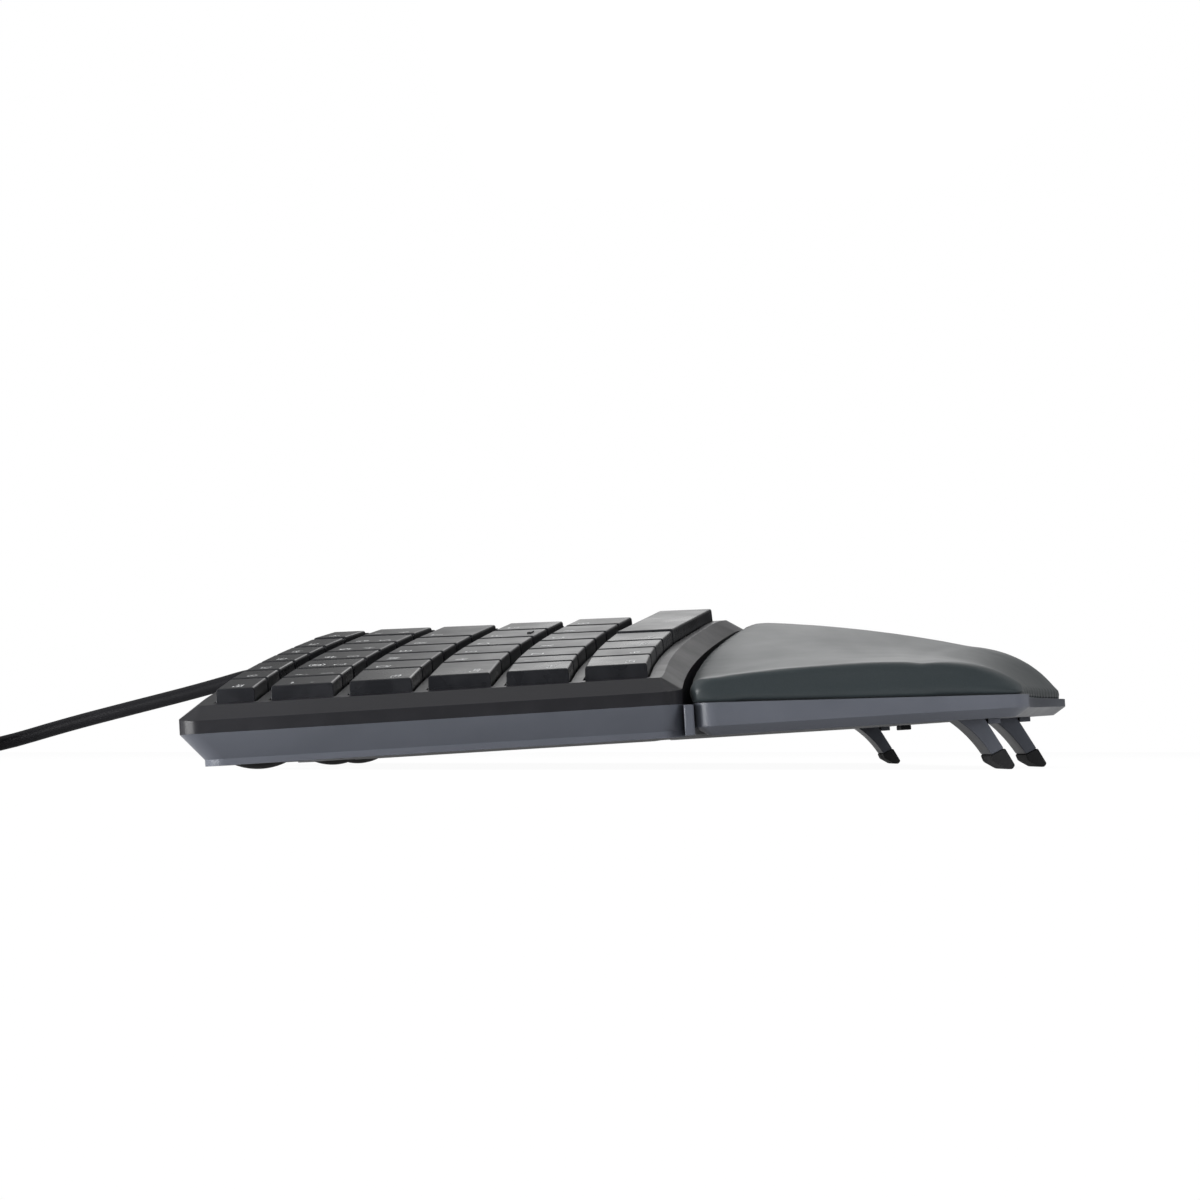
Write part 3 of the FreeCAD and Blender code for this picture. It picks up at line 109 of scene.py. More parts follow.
def coil_stops():
    """Radius and height at the end of each half turn, in millimetres."""
    stops = [(COIL_RADIUS, COIL_LOW)]
    radius = COIL_RADIUS
    height = COIL_LOW
    inwards = -1
    for layer, half_turns in enumerate(COIL_HALF_TURNS):
        for _ in range(half_turns):
            radius += inwards * COIL_PITCH / 2
            stops.append((radius, height))
        height += COIL_PITCH
        inwards = -inwards
        if layer < len(COIL_HALF_TURNS) - 1:
            stops.append((radius, height))
    stops.append((radius, PLUG_HEIGHT))
    return stops


def coil_points():
    """Control points round the coil in millimetres, widened so that the curve lies on its turns."""
    widen = 1 / math.cos(math.pi / POINTS_PER_HALF_TURN / 2) ** WIDENING_POWER
    stops = coil_stops()
    points = []
    for index, ((r0, z0), (r1, z1)) in enumerate(zip(stops, stops[1:])):
        side = 1 if index % 2 == 0 else -1
        middle = side * (r0 - r1) / 2
        reach = (r0 + r1) / 2 * widen
        for step in range(POINTS_PER_HALF_TURN):
            share = (step + 0.5) / POINTS_PER_HALF_TURN
            angle = math.pi * share
            points.append((COIL_CENTRE[0] + middle + side * reach * math.cos(angle),
                           COIL_CENTRE[1] + side * reach * math.sin(angle),
                           z0 + (z1 - z0) * share))
    last = (COIL_CENTRE[0] + stops[-1][0], COIL_CENTRE[1], PLUG_HEIGHT)
    return points + [last, (last[0], last[1] + PLUG_START, last[2])]


def make_cord():
    """One curve from the strain relief to the plug, as thick as its points' radius."""
    curve = bpy.data.curves.new("lead", "CURVE")
    curve.dimensions = "3D"
    curve.resolution_u = CORD_SMOOTHNESS
    curve.bevel_depth = 1.0
    curve.bevel_resolution = CORD_ROUNDNESS
    curve.use_fill_caps = True
    spline = curve.splines.new("NURBS")
    points = CORD_ROUTE + coil_points()
    spline.points.add(len(points) - 1)
    for target, point in zip(spline.points, points):
        target.co = (*[value * MM for value in point], 1)
        target.radius = CORD_RADIUS
    spline.order_u = CORD_ORDER
    spline.use_endpoint_u = True
    lead = bpy.data.objects.new("lead", curve)
    scene.collection.objects.link(lead)
    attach(lead, CASING)
    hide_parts("cord", "cord_coil")
    return lead


make_camera()
lead = make_cord()


# Node trees: helpers that the finishes and the studio share

def math_node(tree, operation, first, second):
    """What a math node makes of two values, each a number or a socket."""
    node = tree.nodes.new("ShaderNodeMath")
    node.operation = operation
    for socket, value in zip(node.inputs, (first, second)):
        if isinstance(value, (int, float)):
            socket.default_value = value
        else:
            tree.links.new(value, socket)
    return node.outputs[0]


def range_node(tree, source, low, high, to_low, to_high, steps="LINEAR"):
    """A source's values from low to high, spread from to_low to to_high."""
    node = tree.nodes.new("ShaderNodeMapRange")
    node.interpolation_type = steps
    for name, value in (("From Min", low), ("From Max", high),
                        ("To Min", to_low), ("To Max", to_high)):
        node.inputs[name].default_value = value
    tree.links.new(source, node.inputs["Value"])
    return node.outputs["Result"]


# Materials: scales in cells per metre, depths in metres

SOCKETS = {"specular": "Specular IOR Level", "metallic": "Metallic", "sheen": "Sheen Weight",
           "sheen_roughness": "Sheen Roughness"}
NOISE_RANGE = (0.3, 0.7)
WORN_EDGES = (0.52, 0.62)
WEAR_PATCHES = (0.42, 0.62)
BLOOM_PATCHES = (0.35, 0.75)
STAIN_PATCHES = (0.35, 0.7)
PEBBLE_RANGE = (0.15, 0.5)
MOST_WEAR = 0.7
MOST_BLOOM = 0.6
MOST_PEBBLE_SHADE = 0.35
WEAR_PALENESS = 0.01
BLOOM_PALENESS = 0.002
UNEVEN_GLOSS = 0.05
PATCHY_GLOSS = 0.025
SPARKLE_SHARE = 0.6
PEBBLE_SHARE = 0.8
FINE_SHARE = 0.4
PLASTIC_DEPTH = 0.06 * MM
RUBBER_DEPTH = 0.08 * MM
CREASE_DEPTH = 0.2 * MM
PEBBLE_DEPTH = 0.04 * MM
METAL_DEPTH = 0.03 * MM


def shaded(colour, factor, lift=0.0):
    """A colour made darker or paler, at most 1 in each part."""
    return tuple(min(part * factor + lift, 1) for part in colour)


class Finish:
    """A principled material with short helpers for its node tree."""

    def __init__(self, name):
        self.material = bpy.data.materials.new(name)
        self.material.use_nodes = True
        self.tree = self.material.node_tree
        self.nodes = self.tree.nodes
        self.shader = self.nodes["Principled BSDF"]
        self.place = self.nodes.new("ShaderNodeTexCoord").outputs["Object"]

    def set(self, **values):
        """Sets shader inputs by their short names."""
        for name, value in values.items():
            self.shader.inputs[SOCKETS[name]].default_value = value

    def link(self, source, target):
        """Joins two sockets; a target's name means an input of the shader."""
        if isinstance(target, str):
            target = self.shader.inputs[target]
        self.tree.links.new(source, target)

    def noise(self, scale, detail, stretch=(1, 1, 1)):
        """Soft irregular patches, stretched where stretch is below 1."""
        mapping = self.nodes.new("ShaderNodeMapping")
        mapping.inputs["Scale"].default_value = stretch
        self.link(self.place, mapping.inputs["Vector"])
        texture = self.nodes.new("ShaderNodeTexNoise")
        texture.inputs["Scale"].default_value = scale
        texture.inputs["Detail"].default_value = detail
        self.link(mapping.outputs[0], texture.inputs["Vector"])
        return texture.outputs["Fac"]

    def cells(self, scale, feature="F1"):
        """Distance to the nearest of many scattered points."""
        texture = self.nodes.new("ShaderNodeTexVoronoi")
        texture.feature = feature
        texture.inputs["Scale"].default_value = scale
        self.link(self.place, texture.inputs["Vector"])
        return texture.outputs["Distance"]

    def span(self, source, reach, to_low, to_high):
        """A source's reach, from its low to its high value, spread from to_low to to_high."""
        return range_node(self.tree, source, *reach, to_low, to_high)

    def math(self, operation, first, second):
        """What a math node makes of two values."""
        return math_node(self.tree, operation, first, second)

    def mixed(self, factor, first, second):
        """A colour between two colours, by a factor from 0 to 1."""
        node = self.nodes.new("ShaderNodeMix")
        node.data_type = "RGBA"
        self.link(factor, node.inputs["Factor"])
        for name, value in (("A", first), ("B", second)):
            socket = [one for one in node.inputs if one.name == name and one.type == "RGBA"][0]
            if isinstance(value, tuple):
                socket.default_value = (*value, 1)
            else:
                self.link(value, socket)
        return [one for one in node.outputs if one.type == "RGBA"][0]

    def bump(self, height, strength, distance, under=None):
        """A bumped normal, on top of another one if it is given."""
        node = self.nodes.new("ShaderNodeBump")
        node.inputs["Strength"].default_value = strength
        node.inputs["Distance"].default_value = distance
        self.link(height, node.inputs["Height"])
        if under is not None:
            self.link(under, node.inputs["Normal"])
        return node.outputs["Normal"]

    def edges(self):
        """From 0 on flat faces to 1 on worn outer edges."""
        geometry = self.nodes.new("ShaderNodeNewGeometry")
        return self.span(geometry.outputs["Pointiness"], WORN_EDGES, 0.0, 1.0)


def plastic(name, colour, roughness, specular=0.35, grain=0.25, worn=1.6):
    """Moulded plastic: fine spark grain, uneven colour and gloss, and paler worn edges."""
    finish = Finish(name)
    finish.set(specular=specular)
    broad = finish.noise(scale=28, detail=4)
    patch = finish.noise(scale=140, detail=3)
    fine = finish.noise(scale=2600, detail=2)
    sparkle = finish.cells(scale=3400)
    shade = finish.mixed(finish.span(broad, NOISE_RANGE, 0, 1),
                         shaded(colour, factor=0.86), shaded(colour, factor=1.12))
    wear = finish.math("MULTIPLY", finish.edges(), finish.span(patch, WEAR_PATCHES, 0, MOST_WEAR))
    pale = shaded(colour, worn, WEAR_PALENESS)
    finish.link(finish.mixed(wear, shade, pale), "Base Color")
    uneven = finish.span(broad, NOISE_RANGE, roughness - UNEVEN_GLOSS, roughness + UNEVEN_GLOSS)
    patchy = finish.span(patch, NOISE_RANGE, -PATCHY_GLOSS, PATCHY_GLOSS)
    finish.link(finish.math("ADD", uneven, patchy), "Roughness")
    height = finish.math("ADD", fine, finish.math("MULTIPLY", sparkle, SPARKLE_SHARE))
    finish.link(finish.bump(height, strength=grain, distance=PLASTIC_DEPTH), "Normal")
    return finish.material


def rubber(name, colour, roughness, specular=0.22):
    """Soft matt rubber with a fine tooth and a slight bloom."""
    finish = Finish(name)
    finish.set(specular=specular)
    broad = finish.noise(scale=60, detail=4)
    fine = finish.noise(scale=1900, detail=3)
    bloom = finish.span(broad, BLOOM_PATCHES, 0, MOST_BLOOM)
    pale = shaded(colour, factor=1.5, lift=BLOOM_PALENESS)
    finish.link(finish.mixed(bloom, colour, pale), "Base Color")
    finish.link(finish.span(broad, NOISE_RANGE, roughness - 0.07, roughness + 0.06), "Roughness")
    finish.link(finish.bump(fine, strength=0.3, distance=RUBBER_DEPTH), "Normal")
    return finish.material


def leather(name, colour, roughness):
    """Satin leather-like cover: fine pebbled grain, faint creases and a soft sheen."""
    finish = Finish(name)
    finish.set(specular=0.35, sheen=0.06, sheen_roughness=0.4)
    broad = finish.noise(scale=14, detail=4)
    pull = finish.noise(scale=70, detail=3, stretch=(0.25, 1, 1))
    pebble = finish.cells(scale=2100, feature="SMOOTH_F1")
    fine = finish.noise(scale=3200, detail=3)
    shade = finish.mixed(finish.span(broad, NOISE_RANGE, 0, 1),
                         shaded(colour, factor=0.92), shaded(colour, factor=1.08))
    hollows = finish.span(pebble, PEBBLE_RANGE, 0, MOST_PEBBLE_SHADE)
    finish.link(finish.mixed(hollows, shade, shaded(colour, factor=0.8)), "Base Color")
    gloss = finish.math("ADD",
                        finish.span(broad, NOISE_RANGE, roughness - 0.03, roughness + 0.03),
                        finish.span(pull, NOISE_RANGE, -0.02, 0.03))
    finish.link(gloss, "Roughness")
    grain = finish.math("ADD", finish.math("MULTIPLY", pebble, PEBBLE_SHARE),
                        finish.math("MULTIPLY", fine, FINE_SHARE))
    creases = finish.bump(pull, strength=0.10, distance=CREASE_DEPTH)
    finish.link(finish.bump(grain, strength=0.16, distance=PEBBLE_DEPTH, under=creases), "Normal")
    return finish.material


def metal(name, colour, roughness):
    """Plated sheet metal with drawn lines and faint stains."""
    finish = Finish(name)
    finish.set(metallic=1.0)
    lines = finish.noise(scale=900, detail=3, stretch=(1, 0.04, 1))
    broad = finish.noise(scale=90, detail=4)
    stains = finish.span(broad, STAIN_PATCHES, 0, 1)
    finish.link(finish.mixed(stains, colour, shaded(colour, factor=0.8)), "Base Color")
    finish.link(finish.span(lines, NOISE_RANGE, roughness - 0.06, roughness + 0.08), "Roughness")
    finish.link(finish.bump(lines, strength=0.12, distance=METAL_DEPTH), "Normal")
    return finish.material


FINISHES = {
    "deck_plastic": plastic("deck_plastic", (0.0125, 0.0125, 0.0148), 0.36, specular=0.2,
                            grain=0.15),
    "base_plastic": plastic("base_plastic", (0.078, 0.084, 0.101), 0.36, specular=0.25, grain=0.12,
                            worn=1.25),
    "key_plastic": plastic("key_plastic", (0.0095, 0.010, 0.0120), 0.30, specular=0.18, grain=0.10),
    "pad_cover": leather("pad_cover", (0.024, 0.031, 0.034), 0.43),
    "inner_plastic": plastic("inner_plastic", (0.5, 0.5, 0.48), 0.5),
    "dome_rubber": rubber("dome_rubber", (0.5, 0.5, 0.48), 0.6),
    "membrane_film": plastic("membrane_film", (0.55, 0.57, 0.55), 0.3),
    "sheet_steel": metal("sheet_steel", (0.55, 0.56, 0.57), 0.38),
    "board_laminate": plastic("board_laminate", (0.03, 0.16, 0.07), 0.4),
    "lens_plastic": plastic("lens_plastic", (0.45, 0.5, 0.48), 0.18, specular=0.5, grain=0.05),
    "screw_steel": metal("screw_steel", (0.36, 0.37, 0.39), 0.32),
    "foot_rubber": rubber("foot_rubber", (0.020, 0.020, 0.021), 0.62),
    "cord_jacket": rubber("cord_jacket", (0.0085, 0.0085, 0.010), 0.5, specular=0.12),
    "tie_plastic": plastic("tie_plastic", (0.016, 0.016, 0.016), 0.45),
    "plug_metal": metal("plug_metal", (0.70, 0.70, 0.71), 0.26),
    "tongue_plastic": plastic("tongue_plastic", (0.62, 0.62, 0.60), 0.42),
}
LEGEND_INK = plastic("legend_ink", (0.80, 0.81, 0.82), 0.55, specular=0.2, grain=0.1, worn=1.0)


def dress(item, slot):
    """Gives a piece the finish of a material slot."""
    item.data.materials.clear()
    item.data.materials.append(FINISHES[slot])


SLOT_OF = {entry["node"]: entry["material_slot"] for entry in frame["record"]["subparts"]}
for node, item in NODES.items():
    dress(item, SLOT_OF[node])
dress(lead, "cord_jacket")


# Moulded edges: flat faces are joined, sharp edges rounded by radii in millimetres

EDGE_ROUND = {"top_case": 0.35, "bottom_case": 0.3, "palm_rest_base": 0.3, "left_leg": 0.4,
              "centre_leg": 0.4, "right_leg": 0.4, "left_leg_tip": 0.4, "centre_leg_tip": 0.4,
              "right_leg_tip": 0.4, "palm_rest_strip": 0.3, "strain_relief": 0.2, "cord_tie": 0.15,
              "plug_grip": 0.2}
KEY_ROUND = 0.3
FLAT_BELOW = math.radians(0.6)
ROUNDED_ABOVE = math.radians(28)
SMOOTH_BELOW = math.radians(34)
KEY_WEIGHT = 50
CASE_WEIGHT = 90


def make_smoothing():
    """Geometry nodes that shade faces smoothly and keep edges sharp above an angle."""
    group = bpy.data.node_groups.new("smoothing", "GeometryNodeTree")
    group.interface.new_socket("Geometry", in_out="INPUT", socket_type="NodeSocketGeometry")
    group.interface.new_socket("Geometry", in_out="OUTPUT", socket_type="NodeSocketGeometry")
    nodes = group.nodes
    links = group.links
    angle = nodes.new("GeometryNodeInputMeshEdgeAngle")
    below = nodes.new("FunctionNodeCompare")
    below.operation = "LESS_EQUAL"
    below.inputs["B"].default_value = SMOOTH_BELOW
    links.new(angle.outputs["Unsigned Angle"], below.inputs["A"])
    faces = nodes.new("GeometryNodeSetShadeSmooth")
    edges = nodes.new("GeometryNodeSetShadeSmooth")
    edges.domain = "EDGE"
    links.new(below.outputs[0], edges.inputs["Shade Smooth"])
    links.new(nodes.new("NodeGroupInput").outputs[0], faces.inputs["Geometry"])
    links.new(faces.outputs[0], edges.inputs["Geometry"])
    links.new(edges.outputs[0], nodes.new("NodeGroupOutput").inputs[0])
    return group


SMOOTHING = make_smoothing()


def rounded(item, radius, segments=2):
    """Joins an item's flat faces and rounds its sharp edges."""
    weld = item.modifiers.new("join", "WELD")
    weld.merge_threshold = SAME_PLACE
    flat = item.modifiers.new("flat_faces", "DECIMATE")
    flat.decimate_type = "DISSOLVE"
    flat.angle_limit = FLAT_BELOW
    bevel = item.modifiers.new("edges", "BEVEL")
    bevel.width = radius * MM
    bevel.segments = segments
    bevel.limit_method = "ANGLE"
    bevel.angle_limit = ROUNDED_ABOVE


def smoothed(item, weight=CASE_WEIGHT):
    """Shades an item smoothly, with its larger faces kept flat by their weight."""
    item.modifiers.new("smoothing", "NODES").node_group = SMOOTHING
    weighted = item.modifiers.new("flat_shading", "WEIGHTED_NORMAL")
    weighted.weight = weight
    weighted.keep_sharp = True


for node in KEY_NODES:
    rounded(NODES[node], KEY_ROUND)
for node, radius in EDGE_ROUND.items():
    rounded(NODES[node], radius)
for node in NODES:
    if node not in ("cord", "cord_coil", "palm_rest_pad"):
        smoothed(NODES[node], KEY_WEIGHT if node in KEY_NODES else CASE_WEIGHT)


# Key legends: plain letters, digits and words, printed near each key's left edge

LEGENDS = {
    "esc_key": "Esc",
    "left_function_keys": "F1 F2 F3 F4 F5 F6",
    "right_function_keys": "F7 F8 F9 F10 F11 F12 Fn Lock",
    "left_number_keys": "~` !1 @2 #3 $4 %5 ^6",
    "right_number_keys": "&7 *8 (9 )0 _- +=",
    "backspace_key": "Backspace",
    "tab_key": "Tab",
    "left_upper_keys": "Q W E R T",
    "right_upper_keys": "Y U I O P {[ }]",
    "caps_lock_key": "Caps",
    "left_home_keys": "A S D F G",
    "right_home_keys": "H J K L :; \"' |\\",
    "enter_key": "Enter",
    "left_shift_key": "Shift",
    "left_lower_keys": "\\ Z X C V B",
    "right_lower_keys": "N M <, >. ?/",
    "right_shift_key": "Shift",
    "left_control_key": "Ctrl",
    "left_modifier_keys": "Fn Menu Alt",
    "right_modifier_keys": "Alt Fn Menu Ctrl",
    "system_keys": "PrtSc ScrLk Pause",
    "editing_keys": "Ins Home PgUp Del End PgDn",
    "arrow_keys": "\u2191 \u2190 \u2193 \u2192",
    "media_keys": "Mute Vol- Vol+ Calc",
    "pad_top_keys": "Num / * -",
    "pad_seven_row_keys": "7 8 9 +",
    "pad_four_row_keys": "4 5 6",
    "pad_lower_keys": "1 2 3 Enter 0 .",
}
HOMING = {"left_home_keys": 3, "right_home_keys": 1, "pad_four_row_keys": 1}
LEGEND_SMOOTHNESS = 3
TOP_FACING = 0.9
ROW_STEP = 8 * MM
FONT_CAPITAL = 0.72
SYMBOL_SIZE = 3.3 * MM
WORD_SIZE = 2.5 * MM
LEGEND_MARGIN = 2.3 * MM
LEGEND_LIFT = 0.03 * MM
REAR_MARK = 0.27
MIDDLE_MARK = 0.5
FRONT_MARK = 0.72
SHALLOW_KEY = 11 * MM


def top_quads(item):
    """Corners of each key's flat top, from the rear left round by the front, by row and X."""
    parent = {}

    def root(corner):
        while parent[corner] != corner:
            corner = parent[corner]
        return corner

    tops = []
    for face in item.data.polygons:
        if face.normal.z < TOP_FACING:
            continue
        points = [item.data.vertices[index].co.copy() for index in face.vertices]
        corners = [tuple(round(value / SAME_PLACE) for value in point) for point in points]
        for corner in corners:
            parent.setdefault(corner, corner)
        for corner in corners[1:]:
            parent[root(corner)] = root(corners[0])
        tops.append((corners[0], points))
    islands = {}
    for corner, points in tops:
        islands.setdefault(root(corner), []).extend(points)
    quads = [[min(points, key=lambda p: p.x - p.y), min(points, key=lambda p: p.x + p.y),
              max(points, key=lambda p: p.x - p.y), max(points, key=lambda p: p.x + p.y)]
             for points in islands.values()]
    middle = {id(quad): sum(quad, Vector()) / 4 for quad in quads}
    quads.sort(key=lambda quad: -middle[id(quad)].y)
    rows = []
    for quad in quads:
        if rows and middle[id(rows[-1][-1])].y - middle[id(quad)].y < ROW_STEP:
            rows[-1].append(quad)
        else:
            rows.append([quad])
    return [quad for row in rows for quad in sorted(row, key=lambda q: middle[id(q)].x)]


def glyphs(words):
    """Points and faces of each legend, from its left edge and baseline, with capitals 1 high."""
    shapes = {}
    for word in sorted(words):
        curve = bpy.data.curves.new("legend", "FONT")
        curve.body = word
        curve.resolution_u = LEGEND_SMOOTHNESS
        item = bpy.data.objects.new("legend", curve)
        scene.collection.objects.link(item)
        bpy.context.view_layer.update()
        depsgraph = bpy.context.evaluated_depsgraph_get()
        mesh = bpy.data.meshes.new_from_object(item.evaluated_get(depsgraph))
        low = min(vertex.co.x for vertex in mesh.vertices)
        shapes[word] = ([((vertex.co.x - low) / FONT_CAPITAL, vertex.co.y / FONT_CAPITAL)
                         for vertex in mesh.vertices],
                        [tuple(face.vertices) for face in mesh.polygons])
        bpy.data.objects.remove(item)
    return shapes


def marks_of(entry, depth):
    """Words of one key, each with its size and its share of the key's depth from the rear."""
    if len(entry) == 2 and not entry[0].isalnum():
        return [(entry[0], SYMBOL_SIZE, REAR_MARK), (entry[1], SYMBOL_SIZE, FRONT_MARK)]
    if depth < SHALLOW_KEY:
        return [(entry, WORD_SIZE, MIDDLE_MARK)]
    if len(entry) == 1:
        return [(entry, SYMBOL_SIZE, REAR_MARK)]
    return [(entry, WORD_SIZE, FRONT_MARK)]


def make_legends():
    """One flat print for each key node, a little above the tops of its keys."""
    placed = {}
    for node, line in LEGENDS.items():
        quads = top_quads(NODES[node])
        entries = line.split()
        if len(quads) != len(entries):
            raise ValueError(f"{node} has {len(quads)} keys and {len(entries)} legends")
        placed[node] = [(quad, mark) for quad, entry in zip(quads, entries)
                        for mark in marks_of(entry, (quad[0] - quad[1]).length)]
    shapes = glyphs({mark[0] for marks in placed.values() for _, mark in marks})
    for node, marks in placed.items():
        points = []
        faces = []
        for (rear_left, front_left, front_right, _), (word, size, share) in marks:
            flat, outlines = shapes[word]
            across = (front_right - front_left).normalized()
            upwards = across.cross(rear_left - front_left).normalized()
            back = upwards.cross(across)
            room = (front_right - front_left).length - 2 * LEGEND_MARGIN
            size = min(size, room / max(x for x, _ in flat))
            start = (rear_left.lerp(front_left, share) + across * LEGEND_MARGIN
                     - back * size / 2 + upwards * LEGEND_LIFT)
            first = len(points)
            points += [start + across * x * size + back * y * size for x, y in flat]
            faces += [[first + index for index in outline] for outline in outlines]
        mesh = bpy.data.meshes.new(f"legend_{node}")
        mesh.from_pydata(points, [], faces)
        mesh.materials.append(LEGEND_INK)
        legend = bpy.data.objects.new(f"legend_{node}", mesh)
        scene.collection.objects.link(legend)
        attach(legend, BODY_OF[node])


BAR_LENGTH = 4.4 * MM
BAR_WIDTH = 1.2 * MM
BAR_HEIGHT = 0.55 * MM
BAR_SINK = 0.15 * MM
BAR_SHARE = 0.84
BAR_ROUND = 0.28
BAR_SEGMENTS = 3


def make_homing_bars():
    """Small raised bars near the front edges of the F, J and 5 keys."""
    for node, index in HOMING.items():
        rear_left, front_left, front_right, rear_right = top_quads(NODES[node])[index]
        across = (front_right - front_left).normalized()
        upwards = across.cross(rear_left - front_left).normalized()
        back = upwards.cross(across)
        middle = (rear_left.lerp(front_left, BAR_SHARE)
                  + rear_right.lerp(front_right, BAR_SHARE)) / 2
        shell = bmesh.new()
        bmesh.ops.create_cube(shell, size=1)
        for vertex in shell.verts:
            x, y, z = vertex.co
            vertex.co = (middle + across * x * BAR_LENGTH + back * y * BAR_WIDTH
                         + upwards * ((z + 0.5) * BAR_HEIGHT - BAR_SINK))
        mesh = bpy.data.meshes.new(f"homing_bar_{node}")
        shell.to_mesh(mesh)
        shell.free()
        mesh.materials.append(FINISHES["key_plastic"])
        bar = bpy.data.objects.new(f"homing_bar_{node}", mesh)
        scene.collection.objects.link(bar)
        rounded(bar, BAR_ROUND, BAR_SEGMENTS)
        smoothed(bar)
        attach(bar, BODY_OF[node])


make_legends()
make_homing_bars()


# Palm rest: the solid pad's shape, a little slimmer, filled by a short cloth simulation

VOXEL = 1.25 * MM
SLIMMER = 0.4 * MM
MOST_SWELL = 0.9 * MM
PRESSURE = 4.0
CLOTH_FRAMES = 12
EVENING_STEPS = 12
SIDE_STEPS = 3
RELAX_FACTOR = 0.5
RELAX_STEPS = 2
SEAT_FACING = (-0.75, -0.35)
END_REACH = 10 * MM
END_INSET = 8 * MM
END_SPREAD = 5 * MM
LEAST_HEIGHT = 1.5 * MM
# How far the ends' upper edge is raised at each depth Y, both in millimetres
EDGE_RAISE = [(-90, -0.4), (-80, -0.5), (-72, 0.0), (-66, 0.8), (-60, 1.9), (-52, 1.9),
              (-40, 1.5), (-20, 1.2), (0, 1.0)]
# Each place up the side is a share of its height and a spread
RAISE_AT = (0.9, 0.3)
BULGE_AT = (0.4, 0.2)
HOLLOW_AT = (0.7, 0.12)
RAISE_OUTWARDS = 0.55
RAISE_UPWARDS = 0.85
BULGE = 1.1 * MM
HOLLOW = 0.7 * MM
UNDERCUT = 0.7 * MM
UNDERCUT_HEIGHT = 1.0 * MM
UNDERCUT_INSET = 2 * MM
SIDE_FACING = 0.8
HIGH_ABOVE = 0.1
DOWN = Vector((0, 0, -1))


def surface_of(node):
    """A tree for casting rays onto a CAD node."""
    mesh = NODES[node].data
    return BVHTree.FromPolygons([vertex.co for vertex in mesh.vertices],
                                [tuple(face.vertices) for face in mesh.polygons])


def height_at(tree, x, y):
    """Height of the topmost surface above a place, or None beside it."""
    hit = tree.ray_cast(Vector((x, y, HIGH_ABOVE)), DOWN)[0]
    return None if hit is None else hit.z


def bell(value, middle, width):
    """1 at the middle, falling away smoothly on both sides."""
    return math.exp(-((value - middle) / width) ** 2)


def applied(item):
    """Replaces an object's mesh by what its modifiers make of it."""
    depsgraph = bpy.context.evaluated_depsgraph_get()
    mesh = bpy.data.meshes.new_from_object(item.evaluated_get(depsgraph))
    item.modifiers.clear()
    item.data = mesh
    return mesh


def values_of(mesh, name):
    """The places (co) or facings (normal) of a mesh's points, one row for each."""
    values = np.empty(len(mesh.vertices) * 3)
    mesh.vertices.foreach_get(name, values)
    return values.reshape(-1, 3)


def evened(field, mesh, steps):
    """A field of moves averaged over neighbouring points, which takes out small creases."""
    ends = np.empty(len(mesh.edges) * 2, dtype=int)
    mesh.edges.foreach_get("vertices", ends)
    first, second = ends.reshape(-1, 2).T
    count = np.bincount(ends, minlength=len(field))[:, None]
    for _ in range(steps):
        total = np.zeros_like(field)
        np.add.at(total, first, field[second])
        np.add.at(total, second, field[first])
        field = 0.5 * field + 0.5 * total / count
    return field


def worked_sides(points, normals):
    """Moves that give the ends their raised edge and bulge, and tuck the foot of the sides in."""
    pad = surface_of("palm_rest_pad")
    base = surface_of("palm_rest_base")
    low = points[:, 0].min()
    high = points[:, 0].max()
    depths, raises = zip(*EDGE_RAISE)
    moves = np.zeros_like(points)
    for index, ((x, y, z), normal) in enumerate(zip(points, normals)):
        outwards = -1 if x < 0 else 1
        inset = x - low if x < 0 else high - x
        if inset < END_REACH:
            inner = (low if x < 0 else high) - outwards * END_INSET
            top = height_at(pad, inner, y)
            foot = height_at(base, inner, y)
            if top is not None and foot is not None and top - foot > LEAST_HEIGHT:
                share = (z - foot) / (top - foot)
                near = bell(inset, 0, END_SPREAD)
                lift = np.interp(y / MM, depths, raises) * MM * bell(share, *RAISE_AT) * near
                side = BULGE * bell(share, *BULGE_AT) - HOLLOW * bell(share, *HOLLOW_AT)
                moves[index] += (outwards * (RAISE_OUTWARDS * lift + side * near), 0,
                                 RAISE_UPWARDS * lift)
        if abs(normal[2]) < SIDE_FACING:
            foot = height_at(base, x - normal[0] * UNDERCUT_INSET, y - normal[1] * UNDERCUT_INSET)
            if foot is not None and z - foot < UNDERCUT_HEIGHT:
                moves[index, :2] -= normal[:2] * UNDERCUT
    return moves


def filled(cushion, slim, free):
    """Blows the slim cushion up as cloth, held at its seat, and gives its mesh and points."""
    cushion.data.vertices.foreach_set("co", slim.ravel())
    pinned = cushion.vertex_groups.new(name="seat")
    for index, share in enumerate(free[:, 0]):
        if share < 1:
            pinned.add([index], 1 - share, "REPLACE")
    cloth = cushion.modifiers.new("filling", "CLOTH")
    cloth.settings.vertex_group_mass = "seat"
    cloth.settings.use_pressure = True
    cloth.settings.uniform_pressure_force = PRESSURE
    cloth.settings.effector_weights.gravity = 0
    cloth.point_cache.frame_start = 1
    cloth.point_cache.frame_end = CLOTH_FRAMES
    for step in range(1, CLOTH_FRAMES + 1):
        scene.frame_set(step)
    mesh = applied(cushion)
    scene.frame_set(1)
    return mesh, values_of(mesh, "co")


